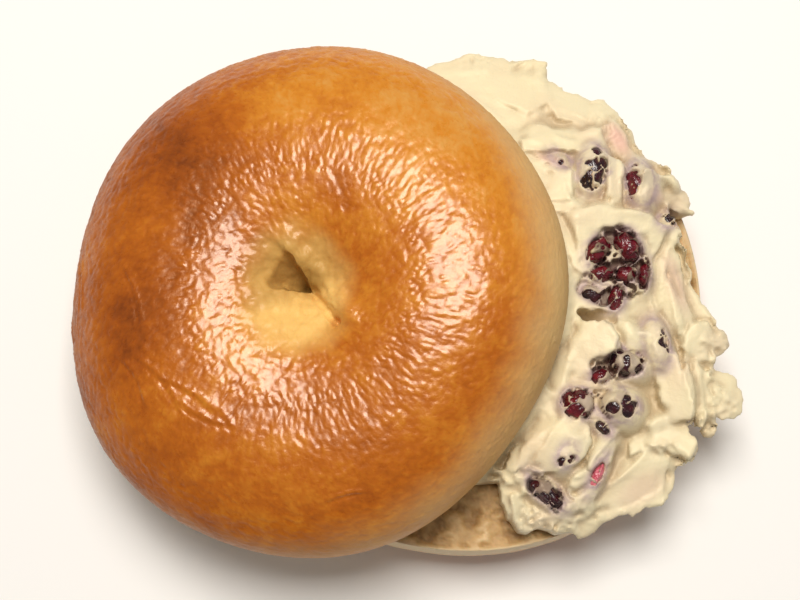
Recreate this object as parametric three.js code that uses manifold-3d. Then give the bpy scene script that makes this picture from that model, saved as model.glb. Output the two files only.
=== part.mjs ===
// A sliced bagel lying open: the bottom half is cut side up under a thick, uneven spread of cream
// cheese with berries in it, and the top half rests on the spread, slid to the left and tipped by it.
// Millimetres and degrees, +Z up, +X to the side where the spread shows, +Y away from the eater.
// The origin is on the table, under the middle of the whole.
import * as THREE from "three";
import { mergeVertices } from "three/addons/utils/BufferGeometryUtils.js";
import Module from "manifold-3d";

const wasm = await Module();
wasm.setup();

// ---- Driving dimensions -------------------------------------------------------------------------

const GAP = 0.3; // free space kept between pieces that touch
const CUT_MARGIN = 0.05; // how much more than the gap a neighbour is grown by before it cuts

// Where the middle of the bottom half stands.
const PLACE = new THREE.Vector3(9.4, 0.3, 0);

// Hand-shaped outlines: a mean radius, and slow waves with their crests at these angles.
const TOP = {
  radius: 55,
  waves: [
    { n: 2, amp: 1.2, at: 73 },
    { n: 3, amp: 0.6, at: 6 },
    { n: 4, amp: 0.25, at: 23 },
    { n: 5, amp: 0.45, at: -2 },
  ],
  height: 27, // of the crown over the cut face
  widest: 7, // height of the widest ring over the cut face
  cutInset: 2.2, // of the cut face's rim inside the widest ring
  ridge: 0.49, // where the crown's ridge runs, from the navel (0) to the widest ring (1)
  shoulder: 2.25, // superellipse power of the shoulder: 2 is an ellipse, more is squarer
  funnelDepth: 9.5, // of the navel's funnel under the crown
  funnelPower: 2.3,
  crownWaves: [
    { n: 1, amp: 0.7, at: 70 },
    { n: 2, amp: 0.6, at: 20 },
    { n: 3, amp: 0.4, at: 100 },
  ],
  offset: new THREE.Vector3(-28.4, -0.8, 24.5), // of its cut face's middle from the bottom half's
  tip: 8, // degrees that the spread lifts its right side
};

const BOTTOM = {
  radius: 56.5,
  waves: [
    { n: 1, amp: 0.95, at: -2 },
    { n: 2, amp: 0.6, at: -16 },
    { n: 3, amp: 0.5, at: -50 },
    { n: 4, amp: 0.35, at: 37 },
  ],
  height: 20, // of the cut face over the table
  widest: 12.5,
  flat: 0.74, // share of the radius that is flat underneath
  cutInset: 0.8,
  shoulder: 2.3,
  dimpleRadius: 9, // the closed hole seen from underneath
  dimpleDepth: 2.6,
};

// The navel: a pocket between two dough lips that meet at its tip, and a crease that runs on from
// there to a small pit. Angles are seen from the tip, in the top half's own frame.
const NAVEL = {
  tip: new THREE.Vector2(1.7, -1.6),
  upperLip: 105, // at the tip, from where it bends round the pocket
  upperLipBend: 1.45, // more degrees for each millimetre from the tip
  lowerLip: 182,
  upperSlope: 1.3, // distance over which the upper lip falls into the pocket
  lowerSlope: 0.8, // the same for the lower lip at the tip
  lowerSlopeGrowth: 0.28,
  pocketReach: 14,
  pocketDepth: 5.6,
  pocketPower: 1.3, // of the floor's rise from the tip outwards
  caveReach: 9.5, // the deeper part of the pocket near the tip
  caveDepth: 4.2,
  caveEdge: 2, // distance over which its edge falls
  caveWave: 0.9, // how far its edge waves in and out
  caveTip: 1.25, // its depth at the tip, as a share of caveDepth
  caveRise: 0.5, // how much of that share is gone at its edge
  creaseAngle: -50,
  creaseLength: 9.3,
  creaseDepth: 1.3,
  creaseWidth: 0.8,
  pitDepth: 2.4,
  pitRadius: 0.9,
  foldHeight: 1.3, // the plump fold beside the upper lip and the crease
  foldWidth: 2.4,
  foldOffset: 2.8,
  foldStart: -9,
  foldFade: 3, // distance over which its ends sink
  hollow: { along: 8.3, across: -2, depth: 1.2, radius: 2.6 }, // shallow, beside the pit
};

// The spread's flat layer between the halves.
const LAYER = {
  inset: 4.5, // of its edge inside the bottom half's rim
  bareMiddle: -95, // of the sector at the front left where the crumb shows
  bareHalf: 33,
  bareFade: [0.75, 1.15], // shares of bareHalf where the sector's ends start and finish
  bareInset: 15,
  over: 1.5, // how far it would rise into the top half, which cuts it flush
  shownHeight: 30.8, // of its surface where the top half does not cover it
  edgeFall: 6.5, // how much lower it is at its edge
  edgeWidth: 12,
};

// Knife strokes of the spread, each over the ones before it. A stroke is nearly flat, long by wide
// about its middle, turned by yaw; its far end rises by rise and its left side by lean. Its edge is
// crisp on the side that faces crispWay and fades into what it lies on elsewhere.
const stroke = (x, y, z, long, wide, yaw, rise, lean, crispWay) => ({
  x, y, z, long, wide, yaw, rise, lean, crispWay,
});
const STROKES = [
  // back sheets
  stroke(8.4, 45.6, 27, 15.4, 11, -2, 0, -1.6, 95),
  stroke(27.9, 42.3, 26.4, 10.4, 5.6, -30, 0, -1, 55),
  stroke(18.4, 53.2, 25.2, 4.2, 2, 6, 0.4, 0, 90),
  stroke(37.1, 37.6, 26.2, 8.8, 4.2, -54, 0, -0.9, 35),
  stroke(26, 36.4, 29.6, 10.6, 3.8, -2, 0, -0.9, -90),
  stroke(38, 35.6, 27.8, 5.4, 2.6, -62, 0, 0.3, 30),
  stroke(39.8, 32.4, 27.4, 2.6, 1.9, 70, 0, 0, 0),
  // round the back berries
  stroke(23.6, 25, 30.8, 4.8, 4.2, 80, 0.3, -0.5, 0),
  stroke(36.9, 25.6, 31.4, 6.8, 3.2, 86, 0, 0.2, 180),
  stroke(45.4, 29.2, 27.8, 4.2, 1.7, -38, -0.5, 0, 40),
  stroke(45.6, 23.8, 30.2, 5.4, 4.4, -18, -1.2, 0.3, 170),
  stroke(49.6, 22.6, 27, 4.6, 2.4, -28, -1, 0.2, -90),
  stroke(52.6, 20.6, 26.2, 2.6, 0.7, -24, -0.4, 0, -90),
  // smear behind the berry cluster
  stroke(45, 14.8, 30.2, 6.6, 3.8, -38, -1.4, 0.5, -60),
  stroke(28.4, 15.8, 31.4, 7.4, 3.6, -76, -0.4, 0.3, -60),
  stroke(36.4, 17.4, 32, 11, 4.2, -3, -0.6, 0.2, -90),
  // long strokes down the right side
  stroke(51.2, 7.4, 24.6, 4.4, 1.9, -66, 0, 0, 20),
  stroke(47.4, 1.4, 28.2, 12.6, 5.2, -77, 0, 1.2, 15),
  stroke(53.4, -2.6, 25.4, 10.4, 3.2, -66, 0, 0.7, 20),
  // the smooth lump in the middle, its left flank and the nubs beside it
  stroke(24.8, -14, 30.6, 9, 2.6, 66, 0, -1.4, 180),
  stroke(31.2, -11.6, 32.2, 6.6, 5, -50, -0.4, 0.4, 0),
  stroke(39.2, -8.4, 30.8, 4.8, 3.4, -30, 0, 0.2, -60),
  // smooth face and ridges at the right
  stroke(48.6, -19.6, 29.2, 9.6, 4.4, -80, 0, 0.9, 180),
  stroke(54.8, -20.2, 27, 8.4, 3.2, -85, 0, 0.8, 0),
  // blobs squeezed out past the bread
  stroke(53.8, -9.4, 27.6, 4.8, 3.6, 40, 0, 0.3, 110),
  stroke(58, -10.4, 26.4, 3.2, 2.4, 75, 0, 0, 180),
  stroke(59.6, -10.8, 25.6, 2.1, 1.8, 40, 0, 0, 180),
  stroke(56.6, -14.2, 25.4, 2.2, 1.5, 30, 0, 0, -60),
  stroke(59.8, -21.8, 25.8, 5.4, 3.6, -75, 0, -0.3, 180),
  stroke(56.4, -28.2, 23.6, 2.1, 1.6, -60, 0, 0, -90),
  // lower right, with its angular step
  stroke(43, -36, 26.6, 10.4, 5.8, 50, 0, 1.4, -45),
  stroke(45.4, -41.4, 24.2, 4.4, 2.8, 75, 0, -0.4, -30),
  stroke(36.4, -43.5, 25.2, 9.4, 4.4, 24, 0, 0.8, -60),
  stroke(47.2, -30.2, 28, 7.2, 3.8, -42, -0.6, -0.3, -75),
  // the big bright lump and its ridge
  stroke(15.6, -33.6, 30.4, 8.4, 2.6, 57, 0, -1.2, 190),
  stroke(22.4, -32.8, 32.2, 8.4, 6, 38, 0, 0.5, 0),
  stroke(30, -36.6, 30, 9, 3.4, 48, 0, 0.6, -40),
  // torn lumps at the front
  stroke(17.6, -45.8, 25.6, 4, 2.4, -50, 0, 0, -100),
  stroke(13.4, -39.4, 28.8, 5.6, 1.4, -14, 0.3, 0.3, -90),
  stroke(14.2, -45.4, 27.4, 5.6, 2.3, -70, -0.4, 0.5, 190),
  stroke(15.8, -49, 25, 2.4, 1.5, -60, -0.8, 0, -120),
  stroke(27.6, -43.6, 28, 5.6, 2.8, 32, 0, 0.5, -60),
  stroke(20.6, -48.4, 26.2, 4.6, 2.6, -16, 0, 0.6, -100),
  stroke(25.8, -49, 25.4, 4.6, 1.9, 12, 0, 0.4, -90),
  stroke(30.6, -48.4, 24, 5.2, 2.2, 24, 0, 0.4, -80),
  stroke(17.8, -41.2, 29.4, 5.4, 2.6, -35, -0.3, 0.3, 100),
];
const STROKE_POWER = 3; // of a stroke's outline: 2 is an ellipse, more is squarer
const STROKE_CROWN = 0.35; // how much lower its rim is than its middle
const CRISP = 1.5; // width of a crisp edge
const CRISP_FACING = [-0.1, 0.75]; // cosines off the way it faces between which it fades
const FADE = 5; // width of the other edges
const OUTLINE_BLEND = 0.8; // how round the corners between the strokes' outlines are
const BEYOND = [-1.2, 0.2]; // a stroke keeps its full height from here on past the earlier outline
const EDGE_ROUND = 1.3; // of the spread's rim
const UNDER_ROUND = 0.5; // of the edge underneath
const FLAP = {
  from: [BOTTOM.radius - 1, BOTTOM.radius + 1.5], // where the spread starts to hang past the bread
  thin: 1.3, // its thickness at its edge
  thick: 5,
  growth: 1.2, // of its thickness for each millimetre inwards
};
const TUCK = 0.6; // distance over which the surface meets the top half's cut face

// Slow waves that shift points along X and Y and so make the strokes' outlines uneven. Each has a
// size, and its phase grows by alongX and alongY radians for each millimetre.
const WARP = {
  x: [
    { size: 0.5, alongX: 0, alongY: 0.4, phase: 0.8 },
    { size: 0.2, alongX: 1.1, alongY: 0.6, phase: 2 },
  ],
  y: [
    { size: 0.5, alongX: 0.45, alongY: 0, phase: 1.7 },
    { size: 0.2, alongX: 0.9, alongY: -1, phase: 0 },
  ],
};

// The spread heaped up round a berry. Shares are of the berry's size.
const HEAP = {
  top: 0.82, // how far up the berry's half height it reaches
  start: 0.75, // where it starts to fall away
  slope: 0.3,
  curve: 0.16, // more slope for each millimetre
  blend: 1.2,
};

// Places between berries where the spread lies deeper: long by wide about the middle, turned by yaw.
const hollow = (x, y, long, wide, yaw, height) => ({ x, y, long, wide, yaw, height });
const HOLLOWS = [
  hollow(37.4, 7, 8, 5.8, -66, 28),
  hollow(32.2, 0.8, 4.6, 3.2, -20, 27.6),
  hollow(36, -16.2, 6.2, 3, 14, 28),
  hollow(31.4, -24.4, 6.8, 3.2, 0, 28.6),
  hollow(20.2, -43, 4.8, 2.2, -42, 27),
];
const HOLLOW_EDGE = [-0.9, 0.3]; // distances from a hollow's outline between which its edge falls

const SPREAD_GRID = {
  coarse: 6, // cells along X where the top half covers the spread
  coarseTo: 3,
  fine: 2.6,
  tall: 1.7,
  low: new THREE.Vector3(-54, -58, 15),
  high: new THREE.Vector3(68, 58, 36),
};

// Berries that show, with semi-axes long, wide and tall.
const berry = (x, y, z, long, wide, tall, yaw, skin = "red") => ({
  x, y, z, long, wide, tall, yaw, skin,
});
const BERRIES = [
  berry(31.7, 28, 29.8, 5, 3.2, 2.9, 80, "dark"),
  berry(42.2, 24.6, 29, 5, 3, 2.5, 96, "red"),
  berry(48.2, 16.9, 26.4, 2.3, 1.7, 1.8, 40, "dark"),
  berry(24.8, 30.2, 28.6, 2.2, 1.4, 1.6, -35, "dark"),
  berry(32.4, 9.6, 29.9, 3.6, 2.2, 2.8, 48, "red"),
  berry(38.9, 10.5, 29.8, 3.6, 2.5, 2.8, -62, "red"),
  berry(33, 4.3, 29.6, 2.6, 1.8, 2.4, 8, "red"),
  berry(38.4, 4.3, 29.5, 2.1, 1.9, 2.4, -10, "red"),
  berry(42.5, 4.4, 29, 2.6, 1.2, 2.2, 82, "red"),
  berry(36.2, -0.8, 29.2, 2.9, 1.7, 2.1, 72, "red"),
  berry(30.8, 0, 28.8, 2.4, 1.7, 2, -30, "dark"),
  berry(44.6, -11, 28.8, 4.8, 2.7, 2.6, 100, "dark"),
  berry(37.8, -15.2, 29.6, 3.6, 2.5, 2.4, -22, "dark"),
  berry(32.3, -18.2, 29.6, 2.2, 1.5, 1.8, 25, "red"),
  berry(27, -24.3, 30.4, 3.6, 3.4, 3, 15, "red"),
  berry(36, -24.6, 29.6, 4.2, 3.4, 2.8, -15, "dark"),
  berry(32.4, -29.2, 29, 2, 1.1, 1.5, -45, "dark"),
  berry(24.4, -35.6, 30.2, 2.3, 1.8, 1.7, 60, "dark"),
  berry(20.2, -43, 28.2, 4.4, 2, 2.3, -42, "dark"),
  berry(31.2, -39.4, 28.2, 3, 1.1, 1.7, 62, "pink"),
];
const BERRY_WRINKLE = 0.07; // relief, as a share of the berry's size

const COLORS = {
  topCrust: 0xc87f2e,
  bottomBread: 0xd9b377,
  spread: 0xf7e9c4,
  berry: { dark: 0x2a1420, red: 0x5c0d18, pink: 0xc0455a },
};

// ---- Small helpers ------------------------------------------------------------------------------

const { clamp, degToRad, lerp, smoothstep } = THREE.MathUtils;
const FULL_TURN = 2 * Math.PI;

// Sum of cosine waves round a full turn.
const wavesAt = (waves, angle) =>
  waves.reduce((sum, w) => sum + w.amp * Math.cos(w.n * (angle - degToRad(w.at))), 0);

const outlineRadius = (half, angle) => half.radius + wavesAt(half.waves, angle);

// Smallest turn from one angle to another, between -PI and PI.
const turnBetween = (from, to) => Math.atan2(Math.sin(to - from), Math.cos(to - from));

const smoothMin = (a, b, blend) => {
  const h = Math.max(blend - Math.abs(a - b), 0) / blend;
  return Math.min(a, b) - (h * h * blend) / 4;
};

const smoothMax = (a, b, blend) => -smoothMin(-a, -b, blend);

// A bell curve: 1 in the middle, falling away over about width.
const bell = (distance, width) => Math.exp(-((distance / width) ** 2));

// Closed surface through rings of equal length, with one point at each end.
function ringSolid(first, rings, last) {
  const count = rings[0].length;
  const points = [first, ...rings.flat(), last];
  const at = (ring, j) => 1 + ring * count + (j % count);
  const faces = [];
  for (let j = 0; j < count; j++) {
    faces.push(0, at(0, j), at(0, j + 1));
    for (let i = 0; i + 1 < rings.length; i++) {
      faces.push(at(i, j), at(i + 1, j), at(i + 1, j + 1));
      faces.push(at(i, j), at(i + 1, j + 1), at(i, j + 1));
    }
    faces.push(points.length - 1, at(rings.length - 1, j + 1), at(rings.length - 1, j));
  }
  return new THREE.BufferGeometry().setFromPoints(points).setIndex(faces);
}

// A ring of points, one for each angle.
const ringOf = (count, pointAt) =>
  Array.from({ length: count }, (_, j) => pointAt((j / count) * FULL_TURN));

function toSolid(geometry) {
  const bare = geometry.clone();
  bare.deleteAttribute("normal");
  bare.deleteAttribute("uv");
  const merged = mergeVertices(bare, 1e-4);
  return new wasm.Manifold(
    new wasm.Mesh({
      numProp: 3,
      vertProperties: merged.attributes.position.array,
      triVerts: new Uint32Array(merged.index.array),
    }),
  );
}

function toGeometry(solid) {
  const { vertProperties, triVerts } = solid.getMesh();
  return new THREE.BufferGeometry()
    .setAttribute("position", new THREE.BufferAttribute(vertProperties, 3))
    .setIndex(new THREE.BufferAttribute(triVerts, 1));
}

// The largest body of a solid, without loose scraps.
const largestBody = (solid) =>
  solid.decompose().reduce((best, body) => (body.volume() > best.volume() ? body : best));

// ---- Bread --------------------------------------------------------------------------------------

const TOP_SEGMENTS = 68;
const BOTTOM_SEGMENTS = 60;

// Height of the top half's crown over its cut face, from the navel (0) to the widest ring (1).
function crownHeight(share, angle) {
  const swell = wavesAt(TOP.crownWaves, angle);
  if (share < TOP.ridge) {
    const inward = (TOP.ridge - share) / TOP.ridge;
    return TOP.height + swell * (1 - inward) - TOP.funnelDepth * inward ** TOP.funnelPower;
  }
  const outward = (share - TOP.ridge) / (1 - TOP.ridge);
  const fall = (1 - outward ** TOP.shoulder) ** (1 / TOP.shoulder);
  return TOP.widest + (TOP.height + swell - TOP.widest) * fall;
}

// Relief of the navel over the smooth funnel, at a point seen from the pocket's tip.
function navelRelief(x, y) {
  const reach = Math.hypot(x, y);
  const angle = Math.atan2(y, x);
  const upper = NAVEL.upperLip + NAVEL.upperLipBend * Math.min(reach, NAVEL.pocketReach);
  const fromUpper = turnBetween(degToRad(upper), angle);
  const toLower = turnBetween(angle, degToRad(NAVEL.lowerLip));
  const inside = fromUpper > 0 && toLower > 0;
  const past = (turn) => (inside ? reach * Math.sin(Math.min(turn, Math.PI / 2)) : 0);
  const lowerSlope = NAVEL.lowerSlope + NAVEL.lowerSlopeGrowth * reach;
  const wall =
    smoothstep(past(fromUpper), 0, NAVEL.upperSlope) * smoothstep(past(toLower), 0, lowerSlope);
  const floor = (1 - smoothstep(reach, 0, NAVEL.pocketReach)) ** NAVEL.pocketPower;
  const waved = reach + NAVEL.caveWave * Math.sin(3 * angle);
  const inCave = 1 - smoothstep(waved, NAVEL.caveReach - NAVEL.caveEdge, NAVEL.caveReach);
  const cave = inCave * (NAVEL.caveTip - (NAVEL.caveRise * reach) / NAVEL.caveReach);
  const pocket = -wall * (NAVEL.pocketDepth * floor + NAVEL.caveDepth * cave);

  const crease = degToRad(NAVEL.creaseAngle);
  const along = x * Math.cos(crease) + y * Math.sin(crease);
  const across = -x * Math.sin(crease) + y * Math.cos(crease);
  const beyond = Math.max(-along, along - NAVEL.creaseLength, 0);
  const groove = -NAVEL.creaseDepth * bell(Math.hypot(across, beyond), NAVEL.creaseWidth);
  const pit =
    -NAVEL.pitDepth * bell(Math.hypot(across, along - NAVEL.creaseLength), NAVEL.pitRadius);
  const { hollow } = NAVEL;
  const toHollow = Math.hypot(along - hollow.along, across - hollow.across);
  const pastFold = Math.max(NAVEL.foldStart - along, along - NAVEL.creaseLength, 0);
  const foldEnds = bell(pastFold, NAVEL.foldFade);
  const fold = NAVEL.foldHeight * bell(across - NAVEL.foldOffset, NAVEL.foldWidth) * foldEnds;
  return pocket + groove + pit + fold - hollow.depth * bell(toHollow, hollow.radius);
}

// The top half about the middle of its cut face, grown outwards by a margin.
function topHalf(grow = 0) {
  const scale = (TOP.radius + grow) / TOP.radius;
  const rimAt = (angle, inset) => (outlineRadius(TOP, angle) - inset) * scale;
  const crownPoint = (share) => (angle) => {
    const rim = rimAt(angle, 0);
    const x = lerp(NAVEL.tip.x, rim * Math.cos(angle), share);
    const y = lerp(NAVEL.tip.y, rim * Math.sin(angle), share);
    const relief = navelRelief(x - NAVEL.tip.x, y - NAVEL.tip.y);
    return new THREE.Vector3(x, y, crownHeight(share, angle) + relief + grow);
  };
  const wallPoint = (drop) => (angle) => {
    const turn = (drop * Math.PI) / 2;
    const rim = rimAt(angle, TOP.cutInset * (1 - Math.cos(turn)));
    const z = TOP.widest * (1 - Math.sin(turn)) - grow * drop;
    return new THREE.Vector3(rim * Math.cos(angle), rim * Math.sin(angle), z);
  };
  const cutPoint = (share) => (angle) => {
    const rim = rimAt(angle, TOP.cutInset) * share;
    return new THREE.Vector3(rim * Math.cos(angle), rim * Math.sin(angle), -grow);
  };
  // closer rings round the navel and on the steep shoulder
  const inner = [0.022, 0.048, 0.08, 0.115, 0.155, 0.2, 0.25, 0.32, 0.4];
  const outer = [90, 78, 66, 54, 43, 32, 21, 10, 0].map((turn) =>
    lerp(TOP.ridge, 1, Math.cos(degToRad(turn)) ** (2 / TOP.shoulder)),
  );
  const rings = [...inner, ...outer]
    .map((share) => ringOf(TOP_SEGMENTS, crownPoint(Math.min(share, 1))))
    .concat([0.35, 0.7, 1].map((drop) => ringOf(TOP_SEGMENTS, wallPoint(drop))))
    .concat([0.6].map((share) => ringOf(TOP_SEGMENTS, cutPoint(share))));
  return ringSolid(crownPoint(0)(0), rings, new THREE.Vector3(0, 0, -grow));
}

// The bottom half about the middle of its flat underside, grown outwards by a margin.
function bottomHalf(grow = 0) {
  const ring = (radiusAt, z) =>
    ringOf(BOTTOM_SEGMENTS, (angle) => {
      const r = radiusAt(outlineRadius(BOTTOM, angle)) + grow;
      return new THREE.Vector3(r * Math.cos(angle), r * Math.sin(angle), z);
    });
  const cut = BOTTOM.height + grow;
  const cutRim = (rim) => rim - BOTTOM.cutInset;
  const upper = [
    ring((rim) => cutRim(rim) * 0.55, cut),
    ring(cutRim, cut),
    ring((rim) => rim - BOTTOM.cutInset * 0.25, lerp(BOTTOM.widest, BOTTOM.height, 0.5)),
  ];
  const lower = [0, 18, 36, 54, 72, 90].map((turn) => {
    const share = Math.cos(degToRad(turn)) ** (2 / BOTTOM.shoulder);
    const drop = Math.sin(degToRad(turn)) ** (2 / BOTTOM.shoulder);
    return ring((rim) => rim * lerp(BOTTOM.flat, 1, share), BOTTOM.widest * (1 - drop) - grow);
  });
  const dimple = [
    ring(() => BOTTOM.dimpleRadius, -grow),
    ring(() => BOTTOM.dimpleRadius * 0.5, BOTTOM.dimpleDepth * 0.7 - grow),
  ];
  return ringSolid(
    new THREE.Vector3(0, 0, cut),
    [...upper, ...lower, ...dimple],
    new THREE.Vector3(0, 0, BOTTOM.dimpleDepth - grow),
  );
}

const topPlace = new THREE.Matrix4().compose(
  TOP.offset,
  new THREE.Quaternion().setFromAxisAngle(new THREE.Vector3(0, 1, 0), -degToRad(TOP.tip)),
  new THREE.Vector3(1, 1, 1),
);

// ---- Cream cheese -------------------------------------------------------------------------------

// Height of the top half's cut plane over a point of the bottom half's frame.
const cutPlaneHeight = (x) => TOP.offset.z + (x - TOP.offset.x) * Math.tan(degToRad(TOP.tip));

// How far inside the top half's cut face a point lies, seen from above.
function underTop(x, y) {
  const [u, v] = [x - TOP.offset.x, y - TOP.offset.y];
  return outlineRadius(TOP, Math.atan2(v, u)) - TOP.cutInset - Math.hypot(u, v);
}

// The layer between the halves: height of its surface, and distance to its outline.
function layerAt(x, y) {
  const angle = Math.atan2(y, x);
  const off = Math.abs(turnBetween(degToRad(LAYER.bareMiddle), angle)) / degToRad(LAYER.bareHalf);
  const inset = lerp(LAYER.bareInset, LAYER.inset, smoothstep(off, ...LAYER.bareFade));
  const toEdge = outlineRadius(BOTTOM, angle) - inset - Math.hypot(x, y);
  const shown = LAYER.shownHeight - LAYER.edgeFall * bell(Math.max(toEdge, 0), LAYER.edgeWidth);
  return { height: Math.min(shown, cutPlaneHeight(x)), outline: -toEdge };
}

// Shift of a point by waves that run over the spread.
const shiftAt = (waves, x, y) =>
  waves.reduce((sum, w) => sum + w.size * Math.sin(w.alongX * x + w.alongY * y + w.phase), 0);

// A stroke or hollow seen from above: place along and across it, share of the way from its middle to
// its outline, and distance to its outline.
function patchAt(x, y, s) {
  const [c, n] = [Math.cos(degToRad(s.yaw)), Math.sin(degToRad(s.yaw))];
  const u = (x - s.x) * c + (y - s.y) * n;
  const v = -(x - s.x) * n + (y - s.y) * c;
  const [a, b] = [Math.abs(u) / s.long, Math.abs(v) / s.wide];
  const p = STROKE_POWER;
  const share = Math.max((a ** p + b ** p) ** (1 / p), 1e-6);
  const slope = Math.hypot(a ** (p - 1) / s.long, b ** (p - 1) / s.wide) * share ** (1 - p);
  const outline = Math.max((share - 1) / Math.max(slope, 1e-6), -Math.min(s.long, s.wide));
  return { u, v, share, outline };
}

// Height of a stroke's top at a place on it.
const strokeTop = (s, { u, v, share }) =>
  s.z + (s.rise * u) / s.long + (s.lean * v) / s.wide - STROKE_CROWN * Math.min(share, 1.2) ** 2;

// 1 on the side of a stroke where its edge is crisp, 0 on the other sides.
const crispness = (x, y, s) => {
  const facing = Math.cos(Math.atan2(y - s.y, x - s.x) - degToRad(s.crispWay));
  return smoothstep(facing, ...CRISP_FACING);
};

// The spread heaped up round a berry, so that only the berry's crown stands out of it.
function heapAt(x, y, b) {
  const [c, n] = [Math.cos(degToRad(b.yaw)), Math.sin(degToRad(b.yaw))];
  const u = ((x - b.x) * c + (y - b.y) * n) / b.long;
  const v = (-(x - b.x) * n + (y - b.y) * c) / b.wide;
  const away = Math.max(Math.hypot(u, v) - HEAP.start, 0) * Math.sqrt(b.long * b.wide);
  return b.z + b.tall * HEAP.top - HEAP.slope * away - HEAP.curve * away ** 2;
}

// The spread over one point: height of its surface and of its underside, distance to its outline.
function spreadColumn(x, y) {
  const layer = layerAt(x, y);
  const warpedX = x + shiftAt(WARP.x, x, y);
  const warpedY = y + shiftAt(WARP.y, x, y);
  let { height: surface, outline } = layer;
  for (const s of STROKES) {
    const plan = patchAt(warpedX, warpedY, s);
    const beyond = plan.outline < CRISP ? smoothstep(outline, ...BEYOND) : 0;
    outline = smoothMin(outline, plan.outline, OUTLINE_BLEND);
    const crisp = crispness(warpedX, warpedY, s);
    const soft = lerp(Math.min(FADE, 0.9 * s.long, 0.9 * s.wide), CRISP, crisp);
    const share = Math.max(smoothstep(-plan.outline / soft, 0, 1), beyond);
    surface = lerp(surface, strokeTop(s, plan), share);
  }
  for (const b of BERRIES) surface = smoothMax(surface, heapAt(x, y, b), HEAP.blend);
  for (const h of HOLLOWS) {
    const inHollow = 1 - smoothstep(patchAt(x, y, h).outline, ...HOLLOW_EDGE);
    surface = lerp(surface, Math.min(surface, h.height), inHollow);
  }
  const roof = cutPlaneHeight(x) + LAYER.over;
  surface = lerp(surface, roof, smoothstep(underTop(x, y), -TUCK, TUCK));

  const thick = clamp(FLAP.thin - FLAP.growth * outline, FLAP.thin, FLAP.thick);
  const offBread = smoothstep(Math.hypot(x, y), ...FLAP.from);
  return { surface, outline, floor: lerp(BOTTOM.height, surface - thick, offBread) };
}

const columns = new Map();
function columnAt(x, y) {
  const key = `${x} ${y}`;
  if (!columns.has(key)) columns.set(key, spreadColumn(x, y));
  return columns.get(key);
}

// Signed distance to the spread, about: negative inside.
function spreadField(x, y, z) {
  const { surface, outline, floor } = columnAt(x, y);
  return smoothMax(smoothMax(z - surface, outline, EDGE_ROUND), floor - z, UNDER_ROUND);
}

const CORNERS = Array.from({ length: 8 }, (_, c) => [c & 1, (c >> 1) & 1, c >> 2]);
const CUBE_EDGES = CORNERS.flatMap((_, a) =>
  [1, 2, 4].filter((bit) => !(a & bit)).map((bit) => [a, a | bit]),
);

// How many groups a cell's inside or outside corners form, joined along the cell's edges.
function cornerGroups(inside, wanted) {
  const group = inside.map((value, c) => (value === wanted ? c : -1));
  for (let pass = 0; pass < 4; pass++)
    for (const [a, b] of CUBE_EDGES)
      if (group[a] >= 0 && group[b] >= 0) group[a] = group[b] = Math.min(group[a], group[b]);
  return new Set(group.filter((g) => g >= 0)).size;
}

// Grid coordinates from low to high, step apart.
const evenly = (low, high, step) =>
  Array.from({ length: Math.ceil((high - low) / step) + 1 }, (_, i) => low + i * step);

const { low: gridLow, high: gridHigh } = SPREAD_GRID;
const coarseLines = evenly(gridLow.x, SPREAD_GRID.coarseTo, SPREAD_GRID.coarse);
const spreadLines = [
  [...coarseLines.slice(0, -1), ...evenly(coarseLines.at(-1), gridHigh.x, SPREAD_GRID.fine)],
  evenly(gridLow.y, gridHigh.y, SPREAD_GRID.fine),
  evenly(gridLow.z, gridHigh.z, SPREAD_GRID.tall),
];

const OUTSIDE = 1000; // field on the border of the grid, so that the surface closes inside it

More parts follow.
